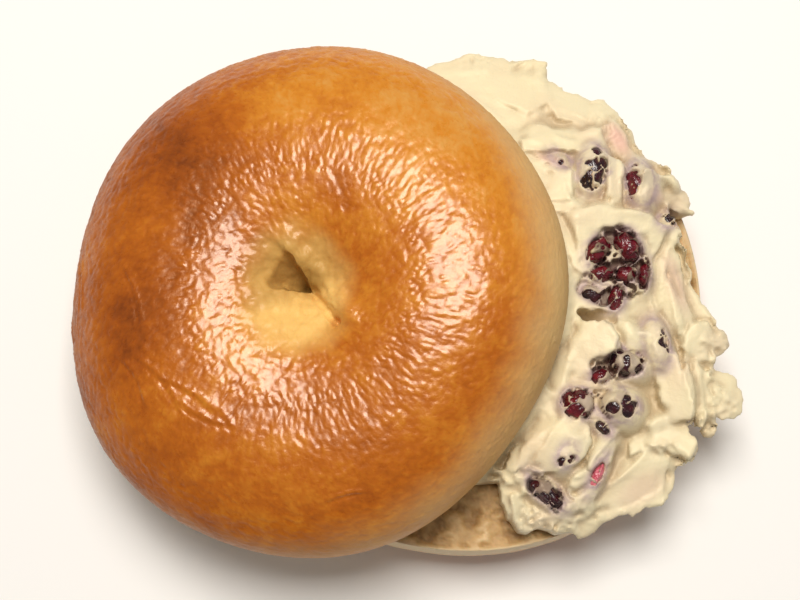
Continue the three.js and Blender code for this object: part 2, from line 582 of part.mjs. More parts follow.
// Closed surface where a field crosses zero, by surface nets on a grid of three sets of coordinates:
// one point for each cell that the surface passes through, and one quad for each grid edge that it
// crosses.
function surfaceNet(field, lines) {
  const n = lines.map((line) => line.length);
  const at = (i, j, k) => i + n[0] * (j + n[1] * k);
  const value = new Float64Array(n[0] * n[1] * n[2]);
  const eachPoint = (margin, visit) => {
    for (let k = 0; k < n[2] - margin; k++)
      for (let j = 0; j < n[1] - margin; j++)
        for (let i = 0; i < n[0] - margin; i++) visit(i, j, k);
  };
  const onBorder = (...place) => place.some((p, axis) => p === 0 || p === n[axis] - 1);
  const coordinate = (line, p) => {
    const cell = Math.min(Math.floor(p), line.length - 2);
    return lerp(line[cell], line[cell + 1], p - cell);
  };
  const placeOf = (gridPoint) => gridPoint.map((p, axis) => coordinate(lines[axis], p));
  eachPoint(0, (i, j, k) => {
    value[at(i, j, k)] = onBorder(i, j, k) ? OUTSIDE : field(...placeOf([i, j, k]));
  });

  // fill corners until no cell is crossed by two sheets, which would pinch the surface
  const isInside = (i, j, k) => CORNERS.map(([a, b, c]) => value[at(i + a, j + b, k + c)] < 0);
  const pinched = (inside) =>
    cornerGroups(inside, true) > 1 ||
    cornerGroups(inside, false) > 1 ||
    CORNERS.some((_, c) =>
      [3, 5, 6].some(
        (bits) =>
          !(c & bits) &&
          inside[c] === inside[c | bits] &&
          inside[c | (bits & -bits)] !== inside[c] &&
          inside[c | (bits & (bits - 1))] !== inside[c],
      ),
    );
  for (let changed = true; changed; ) {
    changed = false;
    eachPoint(1, (i, j, k) => {
      if (!pinched(isInside(i, j, k))) return;
      const outside = CORNERS.map(([a, b, c]) => at(i + a, j + b, k + c)).filter(
        (p) => value[p] >= 0,
      );
      const nearest = outside.reduce((best, p) => (value[p] < value[best] ? p : best));
      value[nearest] = -0.1;
      changed = true;
    });
  }

  const points = [];
  const pointOf = new Map();
  eachPoint(1, (i, j, k) => {
    const v = CORNERS.map(([a, b, c]) => value[at(i + a, j + b, k + c)]);
    const crossings = CUBE_EDGES.filter(([a, b]) => v[a] < 0 !== v[b] < 0).map(([a, b]) =>
      new THREE.Vector3(...CORNERS[a]).lerp(new THREE.Vector3(...CORNERS[b]), v[a] / (v[a] - v[b])),
    );
    if (!crossings.length) return;
    const mean = crossings
      .reduce((sum, p) => sum.add(p), new THREE.Vector3())
      .divideScalar(crossings.length);
    pointOf.set(at(i, j, k), points.length);
    points.push(new THREE.Vector3(...placeOf([i + mean.x, j + mean.y, k + mean.z])));
  });

  const faces = [];
  eachPoint(1, (i, j, k) => {
    const place = [i, j, k];
    for (let axis = 0; axis < 3; axis++) {
      const next = place.map((p, a) => (a === axis ? p + 1 : p));
      const here = value[at(...place)] < 0;
      if (here === value[at(...next)] < 0) continue;
      const [u, v] = [(axis + 1) % 3, (axis + 2) % 3];
      const corner = (du, dv) =>
        pointOf.get(at(...place.map((p, a) => p - (a === u ? du : a === v ? dv : 0))));
      const quad = [corner(0, 0), corner(1, 0), corner(1, 1), corner(0, 1)];
      if (!here) quad.reverse();
      const [a, b, c, d] = quad;
      const short = points[a].distanceTo(points[c]) < points[b].distanceTo(points[d]);
      faces.push(...(short ? [a, b, c, a, c, d] : [a, b, d, b, c, d]));
    }
  });
  return new THREE.BufferGeometry().setFromPoints(points).setIndex(faces);
}

// ---- Berries ------------------------------------------------------------------------------------

// A slightly shrivelled berry, grown outwards by a margin.
function berryGeometry(spec, index, grow = 0) {
  const shape = new THREE.IcosahedronGeometry(1, 1);
  shape.deleteAttribute("normal");
  shape.deleteAttribute("uv");
  const geometry = mergeVertices(shape, 1e-4);
  const position = geometry.attributes.position;
  const point = new THREE.Vector3();
  for (let i = 0; i < position.count; i++) {
    point.fromBufferAttribute(position, i);
    const wrinkle = Math.cos(5 * Math.atan2(point.y, point.x) + index) * (1 - point.z ** 2);
    point.multiplyScalar(1 + BERRY_WRINKLE * wrinkle);
    point.multiply(new THREE.Vector3(spec.long + grow, spec.wide + grow, spec.tall + grow));
    position.setXYZ(i, ...point.toArray());
  }
  return geometry.rotateZ(degToRad(spec.yaw)).translate(spec.x, spec.y, spec.z);
}

// ---- Assembly -----------------------------------------------------------------------------------

function named(name, geometry, color, roughness) {
  const material = new THREE.MeshStandardMaterial({ color, roughness, metalness: 0 });
  const mesh = new THREE.Mesh(geometry, material);
  mesh.name = name;
  return mesh;
}

const cutter = GAP + CUT_MARGIN;
const spreadSolid = [
  topHalf(cutter).applyMatrix4(topPlace),
  bottomHalf(cutter),
  ...BERRIES.map((spec, i) => berryGeometry(spec, i, cutter)),
]
  .map(toSolid)
  .reduce(
    (solid, tool) => solid.subtract(tool),
    toSolid(surfaceNet(spreadField, spreadLines)),
  );

const top = named("top_half", topHalf(), COLORS.topCrust, 0.35);
top.applyMatrix4(topPlace);

const bagel = new THREE.Group();
bagel.add(
  named("bottom_half", bottomHalf(), COLORS.bottomBread, 0.7),
  named("cream_cheese", toGeometry(largestBody(spreadSolid)), COLORS.spread, 0.4),
  top,
  ...BERRIES.map((spec, i) =>
    named(
      `berry_${String(i + 1).padStart(2, "0")}`,
      berryGeometry(spec, i),
      COLORS.berry[spec.skin],
      0.25,
    ),
  ),
);
bagel.position.copy(PLACE);

export default bagel;
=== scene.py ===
"""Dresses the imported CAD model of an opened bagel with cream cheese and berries.

Shapes are worked out in millimetres about the middle of the bottom half's underside, in the same
terms as the CAD model, and turned into metres in the row frame when a mesh is made.
"""

from math import cos, pi, radians, sin, sqrt, tan
from types import SimpleNamespace

import bpy
import numpy as np
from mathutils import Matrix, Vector


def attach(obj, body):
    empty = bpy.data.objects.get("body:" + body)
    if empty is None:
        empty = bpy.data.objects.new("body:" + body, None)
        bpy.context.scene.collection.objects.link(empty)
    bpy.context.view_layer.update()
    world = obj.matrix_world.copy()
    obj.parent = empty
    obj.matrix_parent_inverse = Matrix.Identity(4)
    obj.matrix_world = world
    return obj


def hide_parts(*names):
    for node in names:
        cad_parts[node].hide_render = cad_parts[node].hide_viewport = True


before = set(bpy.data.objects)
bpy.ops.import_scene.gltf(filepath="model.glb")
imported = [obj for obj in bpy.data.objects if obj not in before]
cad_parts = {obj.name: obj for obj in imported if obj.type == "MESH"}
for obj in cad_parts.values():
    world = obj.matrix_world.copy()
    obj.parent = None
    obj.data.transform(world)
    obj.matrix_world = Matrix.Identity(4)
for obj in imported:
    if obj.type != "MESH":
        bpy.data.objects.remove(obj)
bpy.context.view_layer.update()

# ---- Driving dimensions, in millimetres and degrees ----

MM = 0.001
RING = 576  # points round an outer ring of a half; the inner ones have a half or a quarter of them
BERRY_RINGS, BERRY_RING = 42, 72  # rings of a berry, and points round each
PLACE = np.array([9.4, 0.3, 0.0])  # the bottom half's middle in the row frame

TOP = SimpleNamespace(
    radius=55.0,
    waves=[(2, 1.2, 73), (3, 0.6, 6), (4, 0.25, 23), (5, 0.45, -2)],
    height=27.0,
    widest=7.0,
    cut_inset=2.2,
    ridge=0.49,
    shoulder=2.25,
    funnel_depth=9.5,
    funnel_power=2.3,
    crown_waves=[(1, 0.7, 70), (2, 0.6, 20), (3, 0.4, 100)],
    rings=(62, 84, 18),  # down the funnel, over the dome and round the lower edge
    offset=np.array([-28.4, -0.8, 24.5]),
    tip=8.0,
)

BOTTOM = SimpleNamespace(
    radius=56.5,
    waves=[(1, 0.95, -2), (2, 0.6, -16), (3, 0.5, -50), (4, 0.35, 37)],
    height=20.0,
    widest=12.5,
    flat=0.74,
    cut_inset=0.8,
    shoulder=2.3,
    dimple_radius=9.0,
    dimple_depth=2.6,
    rings=(62, 16, 42, 10, 9),  # over the cut, round its edge, down the wall, below, in the dimple
)

NAVEL = SimpleNamespace(
    tip=np.array([1.7, -1.6]),
    upper_lip=105,
    upper_lip_bend=1.45,
    lower_lip=182,
    pocket_reach=14.0,
    pocket_depth=5.6,
    cave_reach=9.5,
    cave_depth=4.2,
    crease_angle=-50,
    crease_length=9.3,
    crease_depth=1.3,
    crease_width=0.8,
    pit_depth=2.4,
    pit_radius=0.9,
    fold_height=1.3,
    fold_width=2.4,
    fold_offset=2.8,
    fold_back=9,
    hollow=(8.3, -2.0, 1.2, 2.6),
)

# middle x, y, half length, yaw and bow of each long fold, about the middle of the top half
CRUST_FOLDS = [
    (-35, -3, 5.5, -70, 0.6),
    (-34.5, -20.5, 4.4, -58, 0.7),
    (-28.5, -22, 6.6, -50, 1),
    (-18.5, -28.6, 5.4, -25, -0.7),
    (-17.5, -27, 4.6, -38, 0.6),
    (-22, -24.8, 6.6, -33, 0.8),
    (-49, 1.5, 5, -84, 0.2),
    (-53, -6, 3.4, -75, 0.2),
    (10, -45, 3, 12, 0.3),
]

FOLD_HEIGHT, FOLD_CREASE = 0.26, 0.3  # how high a fold stands, and how deep the crease beside it is
CRINKLE_HEIGHT, CRINKLE_CREASE = 0.09, 0.1  # the same for the crust's fine wrinkles

# x, y, radius and amount of each darker or paler spot of the top crust
BAKED_SPOTS = [
    (-26, 30, 13, 0.24),
    (-34, -10, 10, 0.12),
    (10, 13, 10, 0.22),
    (0, 33, 12, -0.1),
    (-16, -14, 11, -0.2),
]

LAYER = SimpleNamespace(
    inset=4.5,
    bare_from=-128,
    bare_to=-62,
    bare_inset=15.0,
    shown_height=30.8,
    edge_fall=6.5,
    edge_width=12.0,
)

# Knife strokes of the spread, each over the ones before it: middle x, y and height, half length,
# half width, yaw, rise towards the far end, rise towards the left side, way its crisp edge faces.
STROKES = [
    # back sheets
    (8.4, 45.6, 27, 15.4, 11, -2, 0, -1.6, 95),
    (27.9, 42.3, 26.4, 10.4, 5.6, -30, 0, -1, 55),
    (18.4, 53.2, 25.2, 4.2, 2, 6, 0.4, 0, 90),
    (37.1, 37.6, 26.2, 8.8, 4.2, -54, 0, -0.9, 35),
    (26, 36.4, 29.6, 10.6, 3.8, -2, 0, -0.9, -90),
    (38, 35.6, 27.8, 5.4, 2.6, -62, 0, 0.3, 30),
    (39.8, 32.4, 27.4, 2.6, 1.9, 70, 0, 0, 0),
    # round the back berries
    (23.6, 25, 30.8, 4.8, 4.2, 80, 0.3, -0.5, 0),
    (36.9, 25.6, 31.4, 6.8, 3.2, 86, 0, 0.2, 180),
    (45.4, 29.2, 27.8, 4.2, 1.7, -38, -0.5, 0, 40),
    (45.6, 23.8, 30.2, 5.4, 4.4, -18, -1.2, 0.3, 170),
    (49.6, 22.6, 27, 4.6, 2.4, -28, -1, 0.2, -90),
    (52.6, 20.6, 26.2, 2.6, 0.7, -24, -0.4, 0, -90),
    # smear behind the berry cluster
    (45, 14.8, 30.2, 6.6, 3.8, -38, -1.4, 0.5, -60),
    (28.4, 15.8, 31.4, 7.4, 3.6, -76, -0.4, 0.3, -60),
    (36.4, 17.4, 32, 11, 4.2, -3, -0.6, 0.2, -90),
    # long strokes down the right side
    (51.2, 7.4, 24.6, 4.4, 1.9, -66, 0, 0, 20),
    (47.4, 1.4, 28.2, 12.6, 5.2, -77, 0, 1.2, 15),
    (53.4, -2.6, 25.4, 10.4, 3.2, -66, 0, 0.7, 20),
    # the smooth lump in the middle, its left flank and the nubs beside it
    (24.8, -14, 30.6, 9, 2.6, 66, 0, -1.4, 180),
    (31.2, -11.6, 32.2, 6.6, 5, -50, -0.4, 0.4, 0),
    (39.2, -8.4, 30.8, 4.8, 3.4, -30, 0, 0.2, -60),
    # smooth face and ridges at the right
    (48.6, -19.6, 29.2, 9.6, 4.4, -80, 0, 0.9, 180),
    (54.8, -20.2, 27, 8.4, 3.2, -85, 0, 0.8, 0),
    # blobs squeezed out past the bread
    (53.8, -9.4, 27.6, 4.8, 3.6, 40, 0, 0.3, 110),
    (58, -10.4, 26.4, 3.2, 2.4, 75, 0, 0, 180),
    (59.6, -10.8, 25.6, 2.1, 1.8, 40, 0, 0, 180),
    (56.6, -14.2, 25.4, 2.2, 1.5, 30, 0, 0, -60),
    (59.8, -21.8, 25.8, 5.4, 3.6, -75, 0, -0.3, 180),
    (56.4, -28.2, 23.6, 2.1, 1.6, -60, 0, 0, -90),
    # lower right, with its angular step
    (43, -36, 26.6, 10.4, 5.8, 50, 0, 1.4, -45),
    (45.4, -41.4, 24.2, 4.4, 2.8, 75, 0, -0.4, -30),
    (36.4, -43.5, 25.2, 9.4, 4.4, 24, 0, 0.8, -60),
    (47.2, -30.2, 28, 7.2, 3.8, -42, -0.6, -0.3, -75),
    # the big bright lump and its ridge
    (15.6, -33.6, 30.4, 8.4, 2.6, 57, 0, -1.2, 190),
    (22.4, -32.8, 32.2, 8.4, 6, 38, 0, 0.5, 0),
    (30, -36.6, 30, 9, 3.4, 48, 0, 0.6, -40),
    # torn lumps at the front
    (17.6, -45.8, 25.6, 4, 2.4, -50, 0, 0, -100),
    (13.4, -39.4, 28.8, 5.6, 1.4, -14, 0.3, 0.3, -90),
    (14.2, -45.4, 27.4, 5.6, 2.3, -70, -0.4, 0.5, 190),
    (15.8, -49, 25, 2.4, 1.5, -60, -0.8, 0, -120),
    (27.6, -43.6, 28, 5.6, 2.8, 32, 0, 0.5, -60),
    (20.6, -48.4, 26.2, 4.6, 2.6, -16, 0, 0.6, -100),
    (25.8, -49, 25.4, 4.6, 1.9, 12, 0, 0.4, -90),
    (30.6, -48.4, 24, 5.2, 2.2, 24, 0, 0.4, -80),
    (17.8, -41.2, 29.4, 5.4, 2.6, -35, -0.3, 0.3, 100),
]
STROKE_POWER = 3.0  # of a stroke's outline: 2 is an ellipse, more is squarer
STROKE_CROWN = 0.35
CRISP = 0.4  # width of a stroke's crisp edge
FADE = 5.0  # width of its other edges
LIP = 0.06  # height that the knife pushes up at a crisp edge
SHEET_FLAT = 0.75  # share of a flat plane in a sheet, the rest is the surface that it lies on
SHEET_FADE, SHEET_CRISP = 2.4, 0.35  # width of a sheet's soft edge and of its crisp one
CREASE_STEP = 0.6  # share of its stated height that a crease steps up
CREASE_DIP = 0.3  # depth of the dip before the step, as a share of the step
RIDGES, FINE_RIDGES = 0.25, 0.14  # height of the torn ridges where no stroke has smoothed the spread
EDGE_ROUND = 0.5  # of the spread's rim
UNDER_CUT = 0.15  # gap from the spread to the top half's cut face
INTO_BREAD = 0.25  # how deep the spread reaches into the bottom half's crumb
THINNEST, THICKEST = 0.9, 5  # the spread's thickness past the bread's rim
GAP_FLOOR = 19.0  # height of the spread in a gap, below the crumb that shows there
FLAKE_CREST = 29.4  # height of the lowest flakes between the berries

# Layers of noise, each with its height, size and seed: on the crust, in the navel, in the crumb and
# on the bottom half's wall, then on the spread.
CRUST_BUMPS = [(0.1, 0.8, 51), (0.1, 5.0, 61)]
NAVEL_BUMPS = [(0.4, 2.6, 66), (0.25, 1.2, 67)]
CRUMB_LUMPS = [(0.9, 4.4, 111), (0.6, 2.1, 121), (0.2, 1.0, 124)]
WALL_BUMPS = [(0.12, 5.0, 141), (0.05, 1.6, 142)]
RAGGED = [(0.45, 4.2, 191), (0.42, 1.7, 192), (0.22, 0.9, 190)]
COMBED = [(0.12, 2.6, 193), (0.05, 0.9, 194)]
UNEVEN = [(0.1, 3.1, 195), (0.03, 1.2, 196)]
GAP_EDGE = [(0.9, 2.2, 197), (0.4, 1.0, 198)]
HOLLOW_EDGE = [(0.9, 2.6, 241)]
CREASE_WOBBLE = [(0.3, 2.4, 251), (0.12, 0.9, 252)]
SHEET_WOBBLE = [(0.3, 3.0, 271), (0.15, 1.1, 272)]

# The grid that the spread is made on.
GRID = SimpleNamespace(
    box=((-54, 68), (-58, 58), (17, 36)),
    step=0.43,
    quick_step=0.7,
    height_step=0.6,
    hidden_step=1.6,
    fine_from=2,
)
CAMERA = SimpleNamespace(target=np.array([-10.8, -1.4, 30.0]), elevation=78, distance=338)

# Creases where one sheet of the spread ends over another: middle x, y, half length, yaw, bow, and
# the width and height of the rise up to it from the left.
CREASES = [
    # back sheets
    (26.8, 31.8, 9.2, 1, 0.5, 2.6, 0.8),
    (26.2, 35.7, 3, 163, 0.5, 1.2, 0.7),
    (32, 33.7, 2.4, 164, 0.3, 1.2, 0.5),
    (22.6, 30, 5.1, -22, -0.4, 1.5, 0.7),
    (21.4, 28.4, 3.1, -25, -0.3, 1.2, 0.6),
    (34.9, 36.9, 3.9, 100, -0.4, 2, 0.4),
    (38.9, 35.5, 3.7, 115, -0.4, 1.6, 0.5),
    (18.2, 41.9, 6.5, -23, 0.5, 2.2, 0.35),
    (8.9, 42.8, 5.9, 138, -0.6, 2.4, 0.3),
    (28.6, 41.6, 4.7, -22, 0.5, 1.8, 0.4),
    # round the back berries
    (27.5, 24.8, 4.5, 93, 0.5, 3, 1),
    (24.3, 20.2, 3.4, 2, 0.3, 2, 0.5),
    (34.4, 25, 5.8, -91, 0.4, 2.4, 0.7),
    (40, 25.3, 5.5, 95, 0.4, 2.4, 0.6),
    (41.2, 24, 4.2, -80, 0.6, 2.2, 0.8),
    (45.8, 18.2, 3, -6, 0.3, 2, 0.8),
    (50.7, 24.5, 3.3, 126, -0.3, 1.6, 0.5),
    # the smear behind the cluster
    (29.2, 19, 3.8, -170, 0.4, 3, 0.5),
    (26.3, 13.4, 5.2, -72, 0.7, 3, 0.9),
    (30.2, 9.3, 3.5, 49, 0.3, 2, 0.9),
    (35.7, 12.6, 3.3, 14, -0.4, 3, 0.9),
    (39.6, 11, 2.5, -72, 0.3, 2, 0.9),
    (42.7, 8.1, 2.3, -8, -0.3, 2, 0.9),
    (46.8, 11.5, 4.1, 63, 0.3, 3, 1.1),
    # long strokes down the right side
    (45, -1.8, 6.9, 103, 0.5, 2.6, 0.6),
    (48.9, -0.5, 8, 108, -0.5, 2.2, 0.6),
    (52, 0.5, 8, 111, 0.4, 2, 0.55),
    (54, -4.2, 5.7, 118, 0.3, 1.8, 0.5),
    # blobs past the bread
    (50.7, -8.6, 3.2, -129, 0.4, 2, 1),
    (55.1, -5.8, 2.4, -172, 0.4, 2, 0.8),
    (57, -11, 2.7, -14, 0.3, 1.5, 0.8),
    (58.4, -14.6, 2, 52, 0.2, 1.5, 0.7),
    (59.8, -20, 2.4, 164, 0.3, 1.6, 0.6),
    (56.3, -23.8, 5.8, -91, 0.4, 2.4, 0.7),
    (60.3, -25.1, 2.2, 24, 0.3, 1.6, 0.6),
    # ridges of the smooth face
    (52, -19.9, 8.4, 91, -0.3, 2.4, 0.8),
    (55.2, -21.8, 6.9, 93, 0.3, 1.8, 0.7),
    (43.9, -20.6, 7.6, -92, 0.6, 3.4, 0.7),
    # the angular step
    (43.5, -33.5, 2.3, -32, 0.1, 2, 1.1),
    (46.2, -33.5, 1.4, 58, 0, 1.4, 1),
    (48.8, -34.4, 2.8, -49, 0.1, 2.2, 1.1),
    (52.4, -33.5, 3.5, 60, 0.2, 2.2, 1),
    (37.1, -37.2, 5.9, 46, -0.6, 3, 1),
    (31.4, -44.1, 3.1, 60, 0.3, 2, 0.7),
    (41.7, -43.3, 7, -150, 0.6, 3, 0.35),
    (45.2, -47.7, 4.6, 40, -0.4, 2, 0.6),
    # the smooth lump and the nubs
    (30.1, -5.8, 3.3, -170, 0.5, 2.2, 0.8),
    (35.4, -10, 3.4, 117, -0.4, 2.6, 1),
    (34.7, -15.4, 3.2, 47, -0.3, 2.6, 1),
    (24.9, -12.6, 5, -98, 0.5, 2.6, 0.7),
    (37.5, -5.9, 2, 167, 0.3, 1.3, 0.6),
    (40.4, -9.8, 2.1, 128, 0.3, 1.3, 0.6),
    (38.7, -12.5, 2.4, -19, 0.3, 1.4, 0.8),
    (42.6, -7.2, 2.4, 111, 0.3, 1.5, 0.7),
    # the bright lump
    (33, -33.9, 5.4, 46, 0.4, 2.2, 1.1),
    (22.6, -39.5, 6.7, 3, -1.2, 2.6, 1),
    (18.4, -34.2, 5.8, -123, 0.4, 2.6, 0.7),
    (22.8, -24.7, 4.1, 82, 0.4, 1.5, 0.7),
    (27.9, -30.3, 2.7, -155, 0.4, 1.6, 0.4),
    # torn front
    (15.9, -39.3, 5.1, 171, 0.5, 1.2, 0.6),
    (14.9, -41.7, 3, 154, 0.3, 1, 0.6),
    (12.7, -45.8, 3, -71, 0.4, 1.5, 0.9),
    (15, -50.8, 2.4, -57, 0.3, 1.6, 1),
    (27.7, -48.2, 3.3, 20, 0.4, 1.4, 0.8),
    (23.8, -51.5, 4, -6, 0.4, 1.5, 0.8),
]

# Sheets that the knife left, flat with crisp edges: way the crisp edge faces, its rise, and corners.
SHEETS = [
    # smear behind the cluster
    (-90, 0.9, [(25.1, 17.4), (27.7, 19), (31.6, 19.6), (39.3, 18.7), (44.1, 18.1), (49.8, 17.4),
        (48.5, 15.6), (46.1, 9.8), (43.7, 6.7), (41.7, 9.3), (39.5, 12.7), (34.9, 11.4), (31.6, 11.1),
        (29.9, 7.8), (27.7, 11.1), (26.2, 14.3)]),
    (-15, 0.8, [(19.6, 22.5), (23.5, 29.7), (25.5, 27), (26.2, 23), (27.7, 19.4), (25.1, 17.4),
        (21.1, 18.1)]),
    (-20, 0.7, [(21.4, 17.4), (25.1, 17.4), (26.2, 14.9), (29.9, 7.8), (31, 2.2), (26.6, 5.3), (24.4, 11.1),
        (23.5, 14.3)]),
    # round the back berries
    (180, 0.5, [(34.5, 32.2), (37.3, 30.1), (38.6, 25.2), (39.3, 18.7), (35.4, 20.1), (34.9, 24.5),
        (34.7, 28.8)]),
    (180, 0.9, [(41.7, 23.2), (42.6, 27.7), (45.2, 28.1), (48, 24.5), (51.1, 21.2), (48.5, 18.7),
        (44.8, 18.1), (42.8, 20.3)]),
    (-100, 0.6, [(48.5, 21.2), (54.2, 20.7), (54.2, 18.5), (49.8, 19.4), (48.5, 16.7), (47, 18.3)]),
    # back sheets
    (-90, 0.9, [(16.3, 31.7), (15.4, 35.5), (20.9, 37.5), (28.6, 38.4), (35.6, 37.1), (36.5, 32.6),
        (30.8, 31.9), (24.2, 32.4)]),
    (-90, 0.6, [(17.6, 31.9), (21.6, 31.9), (26.4, 29.7), (27.3, 27.7), (23.3, 28.8), (19.8, 29.7)]),
    (200, 0.5, [(34.3, 39.3), (38.6, 40.7), (41.7, 35.7), (43, 31.7), (40, 29.9), (36.9, 32.2),
        (35.1, 35.3)]),
    (-60, 0.45, [(4.5, 51.8), (15.4, 54.1), (20.9, 52.3), (24.2, 45.6), (17.6, 41.1), (11.1, 45.1)]),
    (-120, 0.45, [(20.9, 51.8), (28.6, 48.9), (33.4, 45.1), (30.8, 39.3), (24.2, 40.7), (21.6, 46)]),
    # long strokes down the right side
    (0, 0.7, [(42.4, 3.3), (46.1, 9.1), (48, 7.8), (47, 2.2), (46.1, -3), (45.4, -7.4), (43.7, -5),
        (41.7, -1.2)]),
    (180, 0.5, [(48.5, 11.1), (51.1, 9.1), (51.8, 4.6), (52.6, 0.2), (54.8, -3), (56.6, -5.4), (52.4, -6.8),
        (49.8, -9.5), (48.5, -4.3), (48, 2.2), (48, 7.3)]),
    # the smooth lump and the nubs beside it
    (10, 1, [(26.6, -6.8), (29.9, -4.3), (32.7, -5.7), (35.1, -7.2), (36.5, -10.1), (35.1, -13.3),
        (33, -16.4), (31, -19.1), (27.3, -20.2), (25.1, -20.2), (25.7, -14.6), (26.4, -10.6)]),
    (-60, 0.5, [(36.5, -8.1), (40.4, -7.4), (43, -9.5), (43.5, -11.5), (41.7, -13.9), (38.6, -13.5),
        (36.5, -12.1)]),
    # smooth face and ridges at the right
    (0, 0.8, [(45.2, -15.3), (46.7, -11.9), (49.1, -12.6), (51.1, -18.4), (52.4, -24), (51.8, -28),
        (46.7, -27.3), (44.8, -24.7), (44.5, -19.5)]),
    (0, 0.7, [(51.1, -12.6), (54.2, -13.9), (55.1, -19.5), (55.5, -25.3), (54.8, -29.1), (52.6, -29.1),
        (52.4, -24.7), (51.3, -18.4)]),
    (-90, 0.7, [(49.8, -11.2), (52.4, -7.4), (56.1, -5.9), (58.6, -7.4), (61.2, -10.1), (60.5, -13.3),
        (57.9, -15), (54.8, -14.6), (51.8, -13.3)]),
    (-60, 0.5, [(56.1, -18.4), (60.5, -19.1), (62.3, -22.9), (62.9, -25.8), (60.5, -27.3), (57.9, -28.5),
        (55.7, -27.3), (55.5, -22.9)]),
    # the angular step and the face below it
    (-90, 1.1, [(38.4, -29.4), (46.1, -27.3), (52.4, -28), (54.8, -29.8), (52.2, -35), (50.7, -36.5),
        (48.5, -32.5), (47.6, -35), (45.2, -32.9), (41, -34.3), (38, -35.6)]),
    (-30, 0.4, [(34.9, -41.9), (38, -37), (41, -35), (45.2, -33.6), (47.6, -35.4), (46.5, -38.8),
        (46.1, -45.9), (48, -46.4), (42.4, -48.4), (36, -49.7), (33, -50.8)]),
    # the bright lump and its ridge
    (-100, 0.9, [(14.6, -33.6), (17.4, -29.8), (20.5, -28.5), (25.5, -29.1), (29.2, -31.2), (27.7, -35),
        (26.8, -37.6), (22.2, -39), (17.4, -39), (13.7, -38.1)]),
    (-30, 1.1, [(29.2, -31.2), (31.6, -28.5), (36, -27.6), (36.7, -29.8), (34.3, -33.6), (31.6, -37.4),
        (29.9, -39), (27.9, -37.6), (28.4, -34.5)]),
    # torn lumps at the front
    (200, 0.8, [(12.4, -43.2), (14.8, -42.6), (17, -43.5), (17.2, -47), (16.1, -48.4), (15.4, -52.2),
        (13, -49)]),
    (-90, 0.9, [(19.2, -46.8), (22.9, -47.5), (26.2, -45.2), (27.3, -47.5), (24.9, -49), (21.1, -48.4),
        (19.2, -50.8), (17.4, -48.4)]),
    (-100, 0.7, [(26.2, -42.6), (28.1, -40.8), (29.5, -41.7), (31.6, -43.5), (31.6, -46.4), (29.2, -48.4),
        (27.9, -46.4)]),
    (-80, 0.7, [(32.1, -46.1), (35.6, -44.4), (38.6, -45.7), (37.8, -47.9), (33.8, -49.7), (31.2, -48.8)]),
]

# x, y, half length, half width and yaw of each gap where the crumb shows through
GAPS = [(31.4, -5.0, 4.4, 1.0, -16)]

# x, y, radius and height of the wrinkles of each torn place of the spread
TORN = [
    (21.5, -47.5, 8, 1.1),
    (29.5, -46.5, 4.5, 0.6),
    (58.5, -11.5, 4.5, 0.5),
    (59.5, -23.5, 5, 0.45),
    (20, 53.5, 5, 0.3),
    (6, 56, 6, 0.25),
    (36, 40, 5, 0.35),
    (38, 0.5, 4, 0.35),
    (56.2, -28, 4, 0.9),
    (44, -47, 4.5, 0.3),
]

# x, y, half length, half width, yaw and amount of each pinker place of the spread
BLUSHES = [
    (37.8, 35.6, 6, 3.2, 118, 0.8),
    (22.4, 30.4, 5, 1.6, -24, 0.6),
    (49.6, 3, 9, 3, -72, 0.45),
    (31.4, -39, 4, 2.2, 60, 0.5),
    (41, -42, 8, 4, 30, 0.3),
    (46, 22, 3, 2.6, 0, 0.4),
]

# x, y, half length, half width, yaw, height and share of flakes of each deep place between berries
HOLLOWS = [
    (37.4, 7, 8, 5.8, -66, 28, 0.12),
    (32.2, 0.8, 4.6, 3.2, -20, 27.6, 0.6),
    (36, -16.2, 6.2, 3, 14, 28, 0.4),
    (31.4, -24.4, 6.8, 3.2, 0, 28.6, 0.4),
    (20.2, -43, 4.8, 2.2, -42, 27, 0.2),
]
FILM = 0.2  # thickness of the spread over the berries
WINDOW = 0.9  # depth of the spread's surface below a berry where the berry shows
BERRY_RIM = 0.97  # of the square of its half width, within which a berry can show
HEAPED_TO = 0.8  # share of a berry's half height that the spread is heaped up to round it
LOBES, LOBE_HEIGHT = 5, 0.07  # of a berry, their height as a share of its half width
CRUSH, DENT = 0.09, 0.05  # how much a berry is out of round, and the depth of its dents

